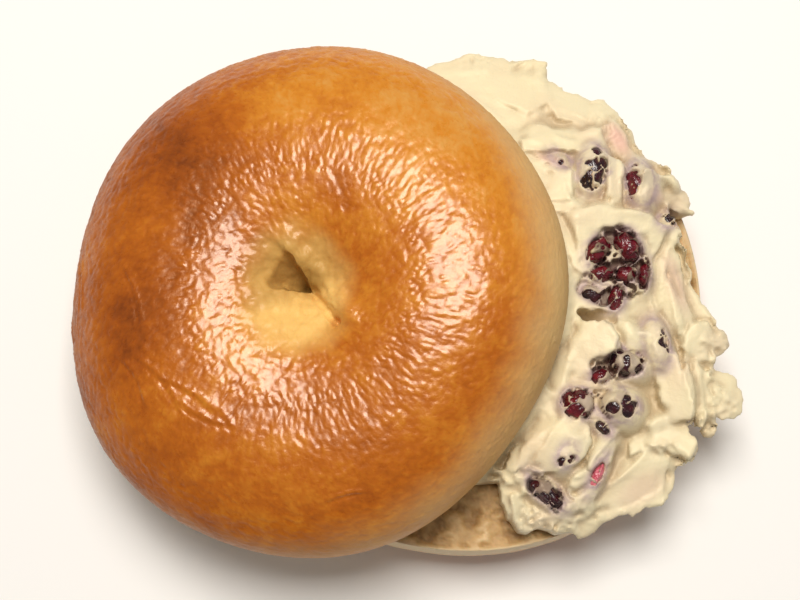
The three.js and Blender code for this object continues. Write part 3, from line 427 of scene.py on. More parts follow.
# x, y, z, half length, half width, half height, yaw, skin, how much of it the spread covers, the way
# its bare side faces and the cosine that this side ends at
BERRIES = [
    (31.7, 28, 29.8, 5, 3.2, 2.9, 80, "dark", 0.04, 10, -0.85),
    (42.2, 24.6, 29, 5, 3, 2.5, 96, "red", 0.02, 170, 0.3),
    (48.2, 16.9, 26.4, 2.3, 1.7, 1.8, 40, "dark", 0.1, 60, 0),
    (24.8, 30.2, 28.6, 2.2, 1.4, 1.6, -35, "dark", 0.5, 60, -1),
    (32.4, 9.6, 29.9, 3.6, 2.2, 2.8, 48, "red", 0.06, 0, -2),
    (38.9, 10.5, 29.8, 3.6, 2.5, 2.8, -62, "red", 0.03, 0, -2),
    (33, 4.3, 29.6, 2.6, 1.8, 2.4, 8, "red", 0.12, 0, -2),
    (38.4, 4.3, 29.5, 2.1, 1.9, 2.4, -10, "red", 0.05, 0, -2),
    (42.5, 4.4, 29, 2.6, 1.2, 2.2, 82, "red", 0.02, 0, -2),
    (36.2, -0.8, 29.2, 2.9, 1.7, 2.1, 72, "red", 0.12, 0, -2),
    (30.8, 0, 28.8, 2.4, 1.7, 2, -30, "dark", 0.25, 0, -2),
    (44.6, -11, 28.8, 4.8, 2.7, 2.6, 100, "dark", 0.04, 15, 0.62),
    (37.8, -15.2, 29.6, 3.6, 2.5, 2.4, -22, "dark", 0.25, 0, -2),
    (32.3, -18.2, 29.6, 2.2, 1.5, 1.8, 25, "red", 0.1, 0, -2),
    (27, -24.3, 30.4, 3.6, 3.4, 3, 15, "red", 0.1, 180, -0.75),
    (36, -24.6, 29.6, 4.2, 3.4, 2.8, -15, "dark", 0.12, -60, -0.7),
    (32.4, -29.2, 29, 2, 1.1, 1.5, -45, "dark", 0.05, 0, -2),
    (24.4, -35.6, 30.2, 2.3, 1.8, 1.7, 60, "dark", 0.2, -80, 0.1),
    (20.2, -43, 28.2, 4.4, 2, 2.3, -42, "dark", 0.15, 0, -2),
    (31.2, -39.4, 28.2, 3, 1.1, 1.7, 62, "pink", 0, 0, -2),
]

# ---- Helpers ----


def waves_at(waves, angle):
    return sum(amp * np.cos(n * (angle - radians(at))) for n, amp, at in waves)


def outline_radius(half, angle):
    return half.radius + waves_at(half.waves, angle)


def turn_between(start, end):
    return np.arctan2(np.sin(end - start), np.cos(end - start))


def turned(x, y, degrees):
    """Place along and across a line that lies that many degrees round from x."""
    c, s = cos(radians(degrees)), sin(radians(degrees))
    return x * c + y * s, -x * s + y * c


def polar(radius, angle, z):
    return radius * np.cos(angle), radius * np.sin(angle), z


def bell(distance, width):
    return np.exp(-((distance / width) ** 2))


def smoothstep(value, low, high):
    t = np.clip((value - low) / (high - low), 0, 1)
    return t * t * (3 - 2 * t)


def lerp(a, b, t):
    return a + (b - a) * t


def smooth_min(a, b, blend):
    h = np.maximum(blend - np.abs(a - b), 0) / blend
    return np.minimum(a, b) - h * h * blend / 4


def smooth_max(a, b, blend):
    return -smooth_min(-a, -b, blend)


def lattice_hash(i, j, k, seed):
    h = i.astype(np.uint32) * np.uint32(374761393)
    h += j.astype(np.uint32) * np.uint32(668265263)
    h += k.astype(np.uint32) * np.uint32(2246822519)
    h += np.uint32((seed * 974711 + 12345) % 2**32)
    for shift, factor in ((15, 2654435761), (13, 1274126177)):
        h ^= h >> np.uint32(shift)
        h *= np.uint32(factor)
    return h ^ h >> np.uint32(16)


def hash_part(h, axis):
    """Ten bits of a hash for an axis, as a number from 0 to 1."""
    return ((h >> np.uint32(10 * axis)) & np.uint32(1023)) / 1023


def noise(points, size, seed):
    """Smooth noise of about -1 to 1 with bumps about size across."""
    p = points / size
    base = np.floor(p).astype(np.int64)
    f = p - base
    w = f * f * f * (f * (f * 6 - 15) + 10)
    total = np.zeros(len(p))
    for corner in np.ndindex(2, 2, 2):
        h = lattice_hash(*(base + corner).T, seed)
        weight = np.ones(len(p))
        dot = np.zeros(len(p))
        for axis in range(3):
            weight *= w[:, axis] if corner[axis] else 1 - w[:, axis]
            dot += (2 * hash_part(h, axis) - 1) * (f[:, axis] - corner[axis])
        total += weight * dot
    return 1.5 * total


def octaves(points, size, seed):
    """Three layers of noise, each half as large and as high as the one before it."""
    return sum(noise(points, size / 2**o, seed + o) / 2**o for o in range(3))


def layers_of(points, layers):
    """The sum of layers of noise, each given by its height, size and seed."""
    return sum(height * noise(points, size, seed) for height, size, seed in layers)


def warped(points, size, reach, seed):
    """The points moved about by smooth noise."""
    shift = [noise(points, size, seed + axis) for axis in range(3)]
    return points + reach * np.stack(shift, -1)


def flat_points(x, y):
    """The points of a grid seen from above, as a list."""
    return np.stack([x.ravel(), y.ravel(), 0 * x.ravel()], -1)


def flat_layers(x, y, layers):
    return layers_of(flat_points(x, y), layers).reshape(x.shape)


def nearest_cells(points, size, seed):
    """Distances to the nearest and second nearest of scattered points, in sizes, and a draw for each."""
    p = points / size
    base = np.floor(p).astype(np.int64)
    first = np.full(len(p), 9.0)
    second = np.full(len(p), 9.0)
    draw = np.zeros(len(p))
    for offset in np.ndindex(3, 3, 3):
        cell = base + offset - 1
        h = lattice_hash(*cell.T, seed)
        jitter = np.stack([hash_part(h, axis) for axis in range(3)], -1)
        d = np.linalg.norm(cell + jitter - p, axis=1)
        second = np.minimum(second, np.maximum(first, d))
        draw = np.where(d < first, (lattice_hash(*cell.T, seed + 1) & np.uint32(4095)) / 4095, draw)
        first = np.minimum(first, d)
    return first, second, draw


def fan(tip, start, count):
    """Faces from a tip to the ring of points that begins at start."""
    i = np.arange(count)
    return np.stack([i * 0 + tip, start + i, start + (i + 1) % count], -1)


def ring_faces(counts):
    """Faces between rings of points, whose counts stay, double or halve, and a point at each end."""
    quads = []
    tris = [fan(0, 1, counts[0])]
    start = 1
    for inner, outer in zip(counts, counts[1:]):
        after = start + inner
        few, many = sorted((inner, outer))
        i = np.arange(few)
        j = (i + 1) % few
        if few == many:
            quads.append(np.stack([start + i, after + i, after + j, start + j], -1))
        else:
            coarse, fine = (start, after) if inner < outer else (after, start)
            a, b, c = (fine + (2 * i + k) % many for k in range(3))
            for face in ((coarse + i, a, b), (coarse + i, b, coarse + j), (coarse + j, b, c)):
                tris.append(np.stack(face, -1)[:, [0, 1, 2] if inner < outer else [0, 2, 1]])
        start = after
    tris.append(fan(start + counts[-1], start, counts[-1])[:, [0, 2, 1]])
    return np.concatenate(tris), np.concatenate(quads)


def ring_count(share, quarter_below, half_below):
    """Points round a ring, from its share of the way out to the rim."""
    return RING // 4 if share < quarter_below else RING // 2 if share < half_below else RING


class Rings:
    """A closed surface made of rings of points, with a tip at each end."""

    def __init__(self):
        self.rings = []

    def add(self, count, point_at):
        """Adds a ring; point_at gives x, y and z for an angle."""
        angle = np.arange(count) / count * 2 * pi
        self.rings.append(np.stack(np.broadcast_arrays(*point_at(angle)), -1))

    def surface(self, first, last):
        """All points, then the triangles and quads between them."""
        points = np.concatenate([[first], *self.rings, [last]]).astype(float)
        return points, *ring_faces([len(ring) for ring in self.rings])


def vertex_normals(points, tris, quads):
    normals = np.zeros_like(points)
    split = np.concatenate([tris, quads[:, [0, 1, 2]], quads[:, [0, 2, 3]]])
    a, b, c = (points[split[:, k]] for k in range(3))
    cross = np.cross(b - a, c - a)
    for k in range(3):
        for axis in range(3):
            normals[:, axis] += np.bincount(split[:, k], cross[:, axis], len(points))
    return normals / (np.linalg.norm(normals, axis=1)[:, None] + 1e-12)


def mesh_piece(name, points, tris, quads, node, slot, material, **fields):
    """A smooth mesh piece in place of a CAD node, with number fields for its material."""
    mesh = bpy.data.meshes.new(name)
    faces = tris.tolist() + quads.tolist()
    mesh.from_pydata(((points + PLACE) * MM).tolist(), [], faces)
    mesh.polygons.foreach_set("use_smooth", np.ones(len(faces), bool))
    for key, values in fields.items():
        attribute = mesh.attributes.new(key, "FLOAT", "POINT")
        attribute.data.foreach_set("value", np.asarray(values, np.float32))
    mesh.materials.append(material)
    mesh.update()
    piece = bpy.data.objects.new(name, mesh)
    bpy.context.scene.collection.objects.link(piece)
    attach(piece, "root")
    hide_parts(node)


# ---- Top half ----


def crown_height(share, angle):
    swell = waves_at(TOP.crown_waves, angle)
    ridge = TOP.ridge
    inward = np.clip((ridge - share) / ridge, 0, 1)
    outward = np.clip((share - ridge) / (1 - ridge), 0, 1)
    funnel = TOP.height + swell * (1 - inward) - TOP.funnel_depth * inward ** TOP.funnel_power
    fall = (1 - outward ** TOP.shoulder) ** (1 / TOP.shoulder)
    dome = TOP.widest + (TOP.height + swell - TOP.widest) * fall
    return np.where(share < ridge, funnel, dome)


def navel_relief(x, y):
    """Height added by the pocket, crease, pit, hollow and fold about the navel's tip."""
    reach = np.hypot(x, y)
    angle = np.arctan2(y, x)
    upper = np.radians(NAVEL.upper_lip + NAVEL.upper_lip_bend * np.minimum(reach, 14))
    from_upper = turn_between(upper, angle)
    to_lower = turn_between(angle, radians(NAVEL.lower_lip))
    inside = (from_upper > 0) & (to_lower > 0)
    past_upper, past_lower = (
        np.where(inside, reach * np.sin(np.minimum(turn, pi / 2)), 0)
        for turn in (from_upper, to_lower)
    )
    wall = smoothstep(past_upper, 0, 1.3) * smoothstep(past_lower, 0, 0.8 + 0.28 * reach)
    floor = (1 - smoothstep(reach, 0, NAVEL.pocket_reach)) ** 1.3
    cave_reach = NAVEL.cave_reach
    cave = 1 - smoothstep(reach + 0.9 * np.sin(3 * angle), cave_reach - 2.0, cave_reach)
    cave = cave * (1.25 - 0.5 * reach / cave_reach)
    pocket = -wall * (NAVEL.pocket_depth * floor + NAVEL.cave_depth * cave)

    along, across = turned(x, y, NAVEL.crease_angle)
    length = NAVEL.crease_length
    beyond = np.maximum(np.maximum(-along, along - length), 0)
    groove = -NAVEL.crease_depth * bell(np.hypot(across, beyond), NAVEL.crease_width)
    pit = -NAVEL.pit_depth * bell(np.hypot(across, along - length), NAVEL.pit_radius)
    hollow_along, hollow_across, depth, radius = NAVEL.hollow
    hollow = -depth * bell(np.hypot(along - hollow_along, across - hollow_across), radius)
    fold_ends = bell(np.maximum(np.maximum(-NAVEL.fold_back - along, along - length), 0), 3)
    fold = NAVEL.fold_height * bell(across - NAVEL.fold_offset, NAVEL.fold_width) * fold_ends
    return pocket + groove + pit + hollow + fold


def crown_point(share, angle):
    rim = outline_radius(TOP, angle)
    tip_x, tip_y = NAVEL.tip
    x = lerp(tip_x, rim * np.cos(angle), share)
    y = lerp(tip_y, rim * np.sin(angle), share)
    return x, y, crown_height(share, angle) + navel_relief(x - tip_x, y - tip_y)


def top_surface():
    """Points and faces of the top half about the middle of its cut face."""
    half = Rings()
    ridge = TOP.ridge
    funnel, dome, edge = TOP.rings
    inner = np.linspace(0.012, ridge, funnel, endpoint=False)
    turns = np.radians(np.linspace(90, 0, dome))
    outer = lerp(ridge, 1, np.cos(turns) ** (2 / TOP.shoulder))
    for share in np.concatenate([inner, outer]):
        half.add(ring_count(share, 0.1, 0.42), lambda angle: crown_point(min(share, 1), angle))
    for drop in np.linspace(0, 1, edge)[1:]:
        turn = drop * pi / 2
        inset = TOP.cut_inset * (1 - cos(turn))
        z = TOP.widest * (1 - sin(turn))
        half.add(RING, lambda angle: polar(outline_radius(TOP, angle) - inset, angle, z))
    for share in (0.985, 0.95, 0.9, 0.8, 0.6, 0.3):
        half.add(
            ring_count(share, 0.5, 0.85),
            lambda angle: polar((outline_radius(TOP, angle) - TOP.cut_inset) * share, angle, 0.0),
        )
    tip = np.stack(crown_point(0, np.zeros(1)), -1)[0]
    return half.surface(tip, [0, 0, 0])


def crinkles(points):
    """Height of the crust's fine wrinkles, in millimetres: rounded ridges between narrow creases."""
    coarse = warped(points, 3.2, 1.0, 11)
    first, second, _ = nearest_cells(warped(points, 1.4, 0.6, 21), 1.2, 31)
    cells = smoothstep(second - first, 0.0, 0.45)
    narrow = -CRINKLE_CREASE * bell(noise(coarse, 2.0, 41), 0.16)
    return CRINKLE_HEIGHT * cells + narrow + layers_of(points, CRUST_BUMPS)


def crust_folds(x, y):
    """Height of the long folds in the crust at the lower left, below zero in their creases."""
    height = np.zeros_like(x)
    for fold_x, fold_y, half_length, yaw, bow in CRUST_FOLDS:
        along, across = turned(x - fold_x, y - fold_y, yaw)
        across = across - bow * (1 - (along / half_length) ** 2)
        ends = bell(np.maximum(np.abs(along) - half_length, 0), 1.2)
        height += ends * (FOLD_HEIGHT * bell(across - 0.6, 0.45) - FOLD_CREASE * bell(across, 0.35))
    return height


def top_place(points):
    """From the top half's own frame to the bottom half's."""
    x, z = turned(points[:, 0], points[:, 2], -TOP.tip)
    return np.stack([x, points[:, 1], z], -1) + TOP.offset


def make_top(material):
    points, tris, quads = top_surface()
    normals = vertex_normals(points, tris, quads)
    x, y, z = points.T
    r = np.hypot(x, y)
    on_crust = smoothstep(z, 0.3, 3)
    hole_x, hole_y = x - NAVEL.tip[0], y - NAVEL.tip[1]
    hole = np.hypot(hole_x + 2.0, hole_y - 0.5)
    ridge = smoothstep(hole, 6, 16) * smoothstep(z, 4, 16)
    wrinkled = crinkles(points)
    height = wrinkled * on_crust * lerp(0.3, 1.0, ridge)
    height += crust_folds(x, y) * on_crust
    height += layers_of(points, NAVEL_BUMPS) * (1 - smoothstep(hole, 9, 15))
    points = points + normals * (height - 0.2)[:, None]

    x, y, z = points.T
    angle = np.arctan2(y, x)

    def towards(degrees, width):
        """1 on the side that lies that way from the middle, less to either side of it."""
        return bell(turn_between(radians(degrees), angle), width)

    share = r / outline_radius(TOP, angle)
    share = np.where(z < TOP.widest, 2 - share, share)
    dough = np.hypot(hole_x + 2.6, 0.85 * (hole_y + 0.7)) + 1.6 * noise(points, 5.0, 71)
    pale = 1 - smoothstep(dough, 6.5, 14.5)
    sunlit = 1 - smoothstep(hole_y - 0.3 * hole_x + noise(points, 4.0, 72), -3.0, 1.5)
    # Painted shade: the dough is coloured darker in the upper part of the navel's pocket.
    cave = bell(np.hypot(hole_x + 1.2, hole_y - 1.6), 3.4) * smoothstep(hole_y, -0.6, 0.6)
    right = towards(5, 0.95)
    rim_from = 0.95 - 0.17 * right - 0.08 * towards(-75, 0.75) + 0.03 * noise(points, 7.0, 81)
    rim = smoothstep(share, rim_from, rim_from + 0.24) * (0.7 + 0.3 * right)
    bake = 0.68 - 0.27 * towards(50, 0.95)
    bake += 0.08 * bell(share - 0.5, 0.16) - 0.1 * towards(-45, 0.6)
    bake += 0.1 * octaves(points, 16.0, 91)
    # Painted highlight and shade: the crust is coloured paler on its fine wrinkles' ridges and darker in
    # their creases.
    bake -= 0.5 * wrinkled * on_crust + 0.07 * noise(points, 2.2, 92)
    for spot_x, spot_y, spread, amount in BAKED_SPOTS:
        bake = bake + amount * bell(np.hypot(x - spot_x, y - spot_y), spread)
    mesh_piece(
        "bagel_top", top_place(points), tris, quads, "top_half", "top_crust", material,
        pale=pale, sunlit=sunlit, cave=cave, bake=np.clip(bake, 0, 1.2), rim=rim,
        cut=1 - smoothstep(z, 0.05, 0.5), side=smoothstep(share, 0.82, 0.97),
    )


# ---- Bottom half ----


def bottom_surface():
    """Points and faces of the bottom half about the middle of its underside."""
    half = Rings()

    def add(count, z, radius_at):
        half.add(count, lambda angle: polar(radius_at(outline_radius(BOTTOM, angle)), angle, z))

    top, widest = BOTTOM.height, BOTTOM.widest
    over, edge, wall, below, dimple = BOTTOM.rings
    add(RING // 4, top, lambda rim: rim * 0.15)
    add(RING // 2, top, lambda rim: rim * 0.3)
    for part in np.linspace(0.45, 1, over):
        add(RING, top, lambda rim: (rim - BOTTOM.cut_inset) * part)
    for part in np.linspace(1, 0, edge)[1:]:
        bulge = BOTTOM.cut_inset * (1 - part**2)
        add(RING, lerp(widest, top, part), lambda rim: rim - BOTTOM.cut_inset + bulge)
    for turn in np.radians(np.linspace(0, 90, wall)[1:]):
        out = cos(turn) ** (2 / BOTTOM.shoulder)
        drop = sin(turn) ** (2 / BOTTOM.shoulder)
        add(RING, widest * (1 - drop), lambda rim: rim * lerp(BOTTOM.flat, 1, out))
    for part in np.linspace(1, 0, below)[1:]:
        add(RING // 2, 0.0, lambda rim: lerp(BOTTOM.dimple_radius, rim * BOTTOM.flat, part))
    for part in np.linspace(1, 0, dimple)[1:-1]:
        depth = BOTTOM.dimple_depth * (1 - part**2)
        add(RING // 4, depth, lambda rim: rim * 0 + BOTTOM.dimple_radius * part)
    return half.surface([0, 0, top], [0, 0, BOTTOM.dimple_depth])


def crumb_relief(points):
    """Height of the cut face's torn crumb, in millimetres, never above the face."""
    p = warped(points, 3.2, 1.6, 101)
    torn = -0.5 * bell(noise(p, 3.2, 122), 0.12) - 0.3 * bell(noise(p, 1.5, 123), 0.14)
    return np.minimum(layers_of(p, CRUMB_LUMPS) + torn + 0.35 * noise(points, 6.0, 131) - 0.5, 0)


def make_bottom(material):
    points, tris, quads = bottom_surface()
    normals = vertex_normals(points, tris, quads)
    x, y, z = points.T
    to_rim = outline_radius(BOTTOM, np.arctan2(y, x)) - BOTTOM.cut_inset - np.hypot(x, y)
    cut = smoothstep(z, BOTTOM.height - 0.05, BOTTOM.height)
    crumb = np.where(cut > 0, crumb_relief(points), 0) * smoothstep(to_rim, 0.0, 1.0)
    points[:, 2] += crumb * cut
    wall = (1 - cut) * smoothstep(points[:, 2], 0.1, 2)
    skin = layers_of(points, WALL_BUMPS) - 0.12
    points = points + normals * (wall * skin)[:, None]
    z = points[:, 2]
    bake = 0.42 + 0.14 * octaves(points, 18.0, 151) - 0.3 * smoothstep(z, 13, 20)
    # The field depth paints shade: the crumb is coloured darker the deeper its torn hollows go.
    mesh_piece(
        "bagel_bottom", points, tris, quads, "bottom_half", "bottom_bread", material,
        bake=np.clip(bake, 0, 1), cut=cut * smoothstep(to_rim, 0.1, 0.8), depth=np.clip(-crumb, 0, 2),
        rim=0.95 * smoothstep(z, 5, 17),
    )


# ---- Cream cheese ----


def cut_plane_height(x):
    return TOP.offset[2] + (x - TOP.offset[0]) * tan(radians(TOP.tip))


def under_top(x, y):
    """How far inside the top half's cut face a point lies, seen from above."""
    u, v = x - TOP.offset[0], y - TOP.offset[1]
    return outline_radius(TOP, np.arctan2(v, u)) - TOP.cut_inset - np.hypot(u, v)


def layer_surface(x, y):
    """Height of the layer between the halves and distance to its outline."""
    angle = np.arctan2(y, x)
    middle = radians((LAYER.bare_from + LAYER.bare_to) / 2)
    half_width = radians((LAYER.bare_to - LAYER.bare_from) / 2)
    off = np.abs(turn_between(middle, angle)) / half_width
    inset = lerp(LAYER.bare_inset, LAYER.inset, smoothstep(off, 0.75, 1.15))
    to_edge = outline_radius(BOTTOM, angle) - inset - np.hypot(x, y)
    shown = LAYER.shown_height - LAYER.edge_fall * bell(np.maximum(to_edge, 0), LAYER.edge_width)
    roof = cut_plane_height(x) - UNDER_CUT
    return lerp(np.minimum(shown, roof), roof, smoothstep(under_top(x, y), -3, 0.5)), -to_edge


def smear_warp(x, y):
    """The points moved by slow waves that make the strokes' outlines uneven."""
    wx = 0.5 * np.sin(0.4 * y + 0.8) + 0.2 * np.sin(1.1 * x + 0.6 * y + 2)
    wy = 0.5 * np.sin(0.45 * x + 1.7) + 0.2 * np.sin(0.9 * x - y)
    return x + wx, y + wy


def oval(x, y, middle_x, middle_y, long, wide, yaw):
    """Distance to a squarish oval's outline, share of the way out to it, place along and across."""
    u, v = turned(x - middle_x, y - middle_y, yaw)
    p = STROKE_POWER
    a, b = np.abs(u) / long, np.abs(v) / wide
    share = (a**p + b**p) ** (1 / p)
    slope = np.hypot(a ** (p - 1) / long, b ** (p - 1) / wide) * np.maximum(share, 1e-6) ** (1 - p)
    return np.maximum((share - 1) / np.maximum(slope, 1e-6), -min(long, wide)), share, u, v


def surface_net(field, lines):
    """Points and quads where a field on a grid crosses zero, one point for each crossed cell."""
    inside = field < 0
    steps = np.eye(3, dtype=int)
    last = np.array(field.shape) - 1
    crossed = np.zeros(last, np.int8)
    corners = list(np.ndindex(2, 2, 2))
    for a, b, c in corners:
        crossed += inside[a : a + last[0], b : b + last[1], c : c + last[2]]
    cells = np.argwhere((crossed > 0) & (crossed < len(corners)))
    index = np.full(crossed.shape, -1, np.int64)
    index[tuple(cells.T)] = np.arange(len(cells))
    value = {corner: field[tuple((cells + corner).T)] for corner in corners}
    total = np.zeros((len(cells), 3))
    hits = np.zeros(len(cells))
    for corner in corners:
        for axis in range(3):
            if corner[axis]:
                continue
            va, vb = value[corner], value[tuple(corner + steps[axis])]
            hit = (va < 0) != (vb < 0)
            at = np.tile(np.array(corner, float), (len(cells), 1))
            at[:, axis] = np.where(hit, va / np.where(hit, va - vb, 1), 0)
            total += at * hit[:, None]
            hits += hit
    place = (total / hits[:, None]).T
    points = [lerp(line[at], line[at + 1], share) for line, at, share in zip(lines, cells.T, place)]
    quads = []
    for axis in range(3):
        u, v = (axis + 1) % 3, (axis + 2) % 3
        edges = np.argwhere(np.diff(inside, axis=axis))
        edges = edges[((edges > 0) & (edges < last))[:, [u, v]].all(1)]
        around = (0 * steps[u], steps[u], steps[u] + steps[v], steps[v])
        quad = np.stack([index[tuple((edges - step).T)] for step in around], -1)
        outward = inside[tuple(edges.T)]
        quad[~outward] = quad[~outward][:, ::-1]
        quads.append(quad)
    return np.stack(points, -1), np.concatenate(quads)


def spread_grid():
    """Grid coordinates, fine in x only where the top half doesn't hide the spread."""
    fine = GRID.step
    (low_x, high_x), (low_y, high_y), (low_z, high_z) = GRID.box
    hidden = np.arange(low_x, GRID.fine_from, GRID.hidden_step)
    x = np.concatenate([hidden, np.arange(GRID.fine_from, high_x, fine)])
    return x, np.arange(low_y, high_y, fine), np.arange(low_z, high_z, GRID.height_step)


def ridged(points, size, seed, sharpness):
    return 1 - sharpness * np.abs(noise(points, size, seed))


def torn_relief(x, y):
    """Ragged ridges of the spread where no stroke has smoothed it."""
    flat = flat_points(x, y)
    ridges = ridged(warped(flat, 4.0, 1.6, 171), 4.2, 181, 2.2)
    fine = ridged(warped(flat, 2.0, 0.8, 172), 2.1, 182, 2.2)
    return (RIDGES * ridges + FINE_RIDGES * fine).reshape(x.shape)


def wrinkles(x, y):
    """Height added by the sharp little wrinkles of the torn places."""
    flat = flat_points(x, y)
    folds = ridged(warped(flat, 2.6, 1.3, 281), 2.3, 282, 2.4) + 0.4 * ridged(flat, 1.1, 283, 2.4)
    amount = np.zeros_like(x)
    for cx, cy, radius, height in TORN:
        away = np.hypot(x - cx, y - cy) / radius
        amount = np.maximum(amount, height * (1 - smoothstep(away, 0.5, 1.1)))
    return amount * folds.reshape(x.shape)


def creases(x, y):
    """Height added by the creases over the points x, y."""
    wobble = flat_layers(x, y, CREASE_WOBBLE)
    height = np.zeros_like(x)
    for cx, cy, half_length, yaw, bow, width, rise in CREASES:
        u, v = turned(x - cx, y - cy, yaw)
        v = v - bow * (1 - (u / half_length) ** 2) + wobble
        ends = 1 - smoothstep(np.abs(u), 0.6 * half_length, 1.15 * half_length)
        step = smoothstep(v, -0.25, 0.1) * np.exp(-np.maximum(v, 0) / width)
        height += CREASE_STEP * ends * rise * (step - CREASE_DIP * bell(v + 0.8, 0.7))
    return height


def polygon_distance(x, y, corners):
    """Distance to a polygon's outline, negative inside."""
    near = np.full(x.shape, 1e9)
    inside = np.zeros(x.shape, bool)
    for (ax, ay), (bx, by) in zip(corners, corners[1:] + corners[:1]):
        along = ((x - ax) * (bx - ax) + (y - ay) * (by - ay)) / ((bx - ax) ** 2 + (by - ay) ** 2)
        along = np.clip(along, 0, 1)
        near = np.minimum(near, np.hypot(x - ax - along * (bx - ax), y - ay - along * (by - ay)))
        if ay != by:
            crossing = (ay > y) != (by > y)
            inside ^= crossing & (x < ax + (y - ay) * (bx - ax) / (by - ay))
    return np.where(inside, -near, near)


def lay_sheets(x, y, surface):
    """The surface with each sheet laid on it as a flat patch that rises to its crisp edge."""
    wobble = flat_layers(x, y, SHEET_WOBBLE)
    for way, rise, corners in SHEETS:
        to_edge = polygon_distance(x, y, corners) + wobble
        inner = to_edge < 0
        along, _ = turned(x, y, way)
        low, high = along[inner].min(), along[inner].max()
        up = np.clip((along - low) / (high - low), 0, 1)
        terms = np.stack([x[inner], y[inner], np.ones(inner.sum())], -1)
        fit, _, _, _ = np.linalg.lstsq(terms, surface[inner], rcond=None)
        plane = fit[0] * x + fit[1] * y + fit[2]
        sheet = lerp(surface, plane, SHEET_FLAT) + rise * up
        soft = lerp(SHEET_FADE, SHEET_CRISP, smoothstep(up, 0.3, 0.6))
        surface = lerp(surface, sheet, smoothstep(-to_edge / soft, 0, 1))
    return surface


def lay_strokes(x, y, surface, outline):
    """The surface and outline with each knife stroke laid over the ones before it."""
    ragged = flat_layers(x, y, RAGGED)
    wide_x, wide_y = smear_warp(x, y)
    for index, (cx, cy, top, long, wide, yaw, far_rise, left_rise, way) in enumerate(STROKES):
        to_edge, share, u, v = oval(wide_x, wide_y, cx, cy, long, wide, yaw)
        height = top + far_rise * u / long + left_rise * v / wide
        height = height - STROKE_CROWN * np.minimum(share, 1.2) ** 2
        near = to_edge < 1.5
        to_edge = to_edge + ragged
        beyond = smoothstep(outline, -1.2, 0.2)
        outline = smooth_min(outline, to_edge, 0.8)
        marks = np.stack([v[near], 0.07 * u[near], 0 * u[near] + 9.7 * index], -1)
        height[near] += layers_of(marks, COMBED)
        facing = np.cos(np.arctan2(wide_y - cy, wide_x - cx) - radians(way))
        crisp = smoothstep(facing, -0.1, 0.75)
        soft = lerp(min(FADE, 0.9 * min(long, wide)), CRISP, crisp)
        laid = np.maximum(smoothstep(-to_edge / soft, 0, 1), beyond * near)
        surface = lerp(surface, height + LIP * crisp * bell(to_edge + 0.7, 0.6), laid)
    return surface, outline


def spread_surface(x, y):
    """Height of the spread's surface and distance to its outline, over the points x, y."""
    surface, outline = layer_surface(x, y)
    surface, outline = lay_strokes(x, y, surface + torn_relief(x, y), outline)
    surface = surface + flat_layers(x, y, UNEVEN)
    surface = lay_sheets(x, y, surface) + creases(x, y) + wrinkles(x, y)
    surface = lerp(surface, cut_plane_height(x) - UNDER_CUT, smoothstep(under_top(x, y), -0.6, 0.6))
    torn = flat_layers(x, y, GAP_EDGE)
    for gap in GAPS:
        to_edge, _, _, _ = oval(*smear_warp(x, y), *gap)
        surface = lerp(surface, GAP_FLOOR, 1 - smoothstep(to_edge + torn, -0.5, 0.4))
    return surface, outline


def over_oval(x, y, middle_x, middle_y, long, wide, yaw):
    """Place over an oval, in shares of its half length and half width."""
    along, across = turned(x - middle_x, y - middle_y, yaw)
    return along / long, across / wide


def buried(x, y, surface):
    """The spread heaped up round the berries, how deep each point lies, and its share of flakes."""
    heaped = surface
    for bx, by, z, long, wide, tall, yaw, _, _, _, _ in BERRIES:
        u, v = over_oval(x, y, bx, by, long, wide, yaw)
        away = np.maximum(np.hypot(u, v) - 0.75, 0) * sqrt(long * wide)
        heaped = smooth_max(heaped, z + tall * HEAPED_TO - 0.2 * away**2 - 0.6 * away, 1.2)
    ragged = flat_layers(x, y, HOLLOW_EDGE)
    deep = np.zeros_like(x)
    flaky = np.zeros_like(x)
    for *place, height, share in HOLLOWS:
        to_edge, _, _, _ = oval(x, y, *place)
        here = 1 - smoothstep(to_edge + ragged, -0.9, 0.3)
        heaped = lerp(heaped, np.minimum(heaped, height + 0.4 * ragged), here)
        deep = np.maximum(deep, here)
        flaky = np.where(here > 0.5, share, flaky)
    return heaped, deep, flaky


def berry_windows(x, y, surface):
    """The spread's surface drawn over the berries as a thin film, with angular windows in it.

    Also returns how thin the film is, and where the deep places between the berries are coloured dark
    maroon, as berry stain and painted shade.
    """
    flat = flat_points(x, y)
    first, second, draw = nearest_cells(warped(flat, 2.4, 0.9, 231), 2.9, 235)
    draw, border = draw.reshape(x.shape), (second - first).reshape(x.shape)
    line = (0.12 + 0.2 * noise(flat, 1.8, 233)).reshape(x.shape)
    surface, deep, flaky = buried(x, y, surface)
    film = np.zeros_like(x)
    beside = np.zeros_like(x)
    between = deep > 0.6
    for bx, by, z, long, wide, tall, yaw, _, cover, way, limit in BERRIES:
        u, v = over_oval(x, y, bx, by, long, wide, yaw)
        share = u * u + v * v
        top = z + tall * np.sqrt(np.clip(1 - share, 0, 1))
        facing = np.cos(np.arctan2(y - by, x - bx) - radians(way))
        thin = border > line * (0.5 + 2.5 * cover)
        bare = (draw > cover) & thin & (share < BERRY_RIM) & (facing > limit)
        flake = top + FILM + 0.4 * (1 - smoothstep(border, 0.0, 0.3))
        drawn = np.where(bare, np.minimum(surface, top - WINDOW), np.maximum(surface, flake))
        surface = np.where(share < 1, drawn, surface)
        between &= share > 1
        away = np.maximum(np.sqrt(share) - 1, 0) * min(long, wide)
        beside = np.maximum(beside, bell(away, 1.5) * (share > BERRY_RIM))
        over = lerp(0.3 + 0.6 * cover, 0.9, smoothstep(share, 0.6, 1.0))
        film = np.maximum(film, bell(away, 1.3) * over)
    flakes = between & ((draw < flaky) | (border < 1.1 * line))
    crest = FLAKE_CREST + 3.0 * np.minimum(draw, 0.45) + 0.4 * border
    surface = np.where(flakes, np.maximum(surface, crest), surface)
    return surface, film, deep * np.maximum(beside, 1 - 1.8 * flaky) * ~flakes


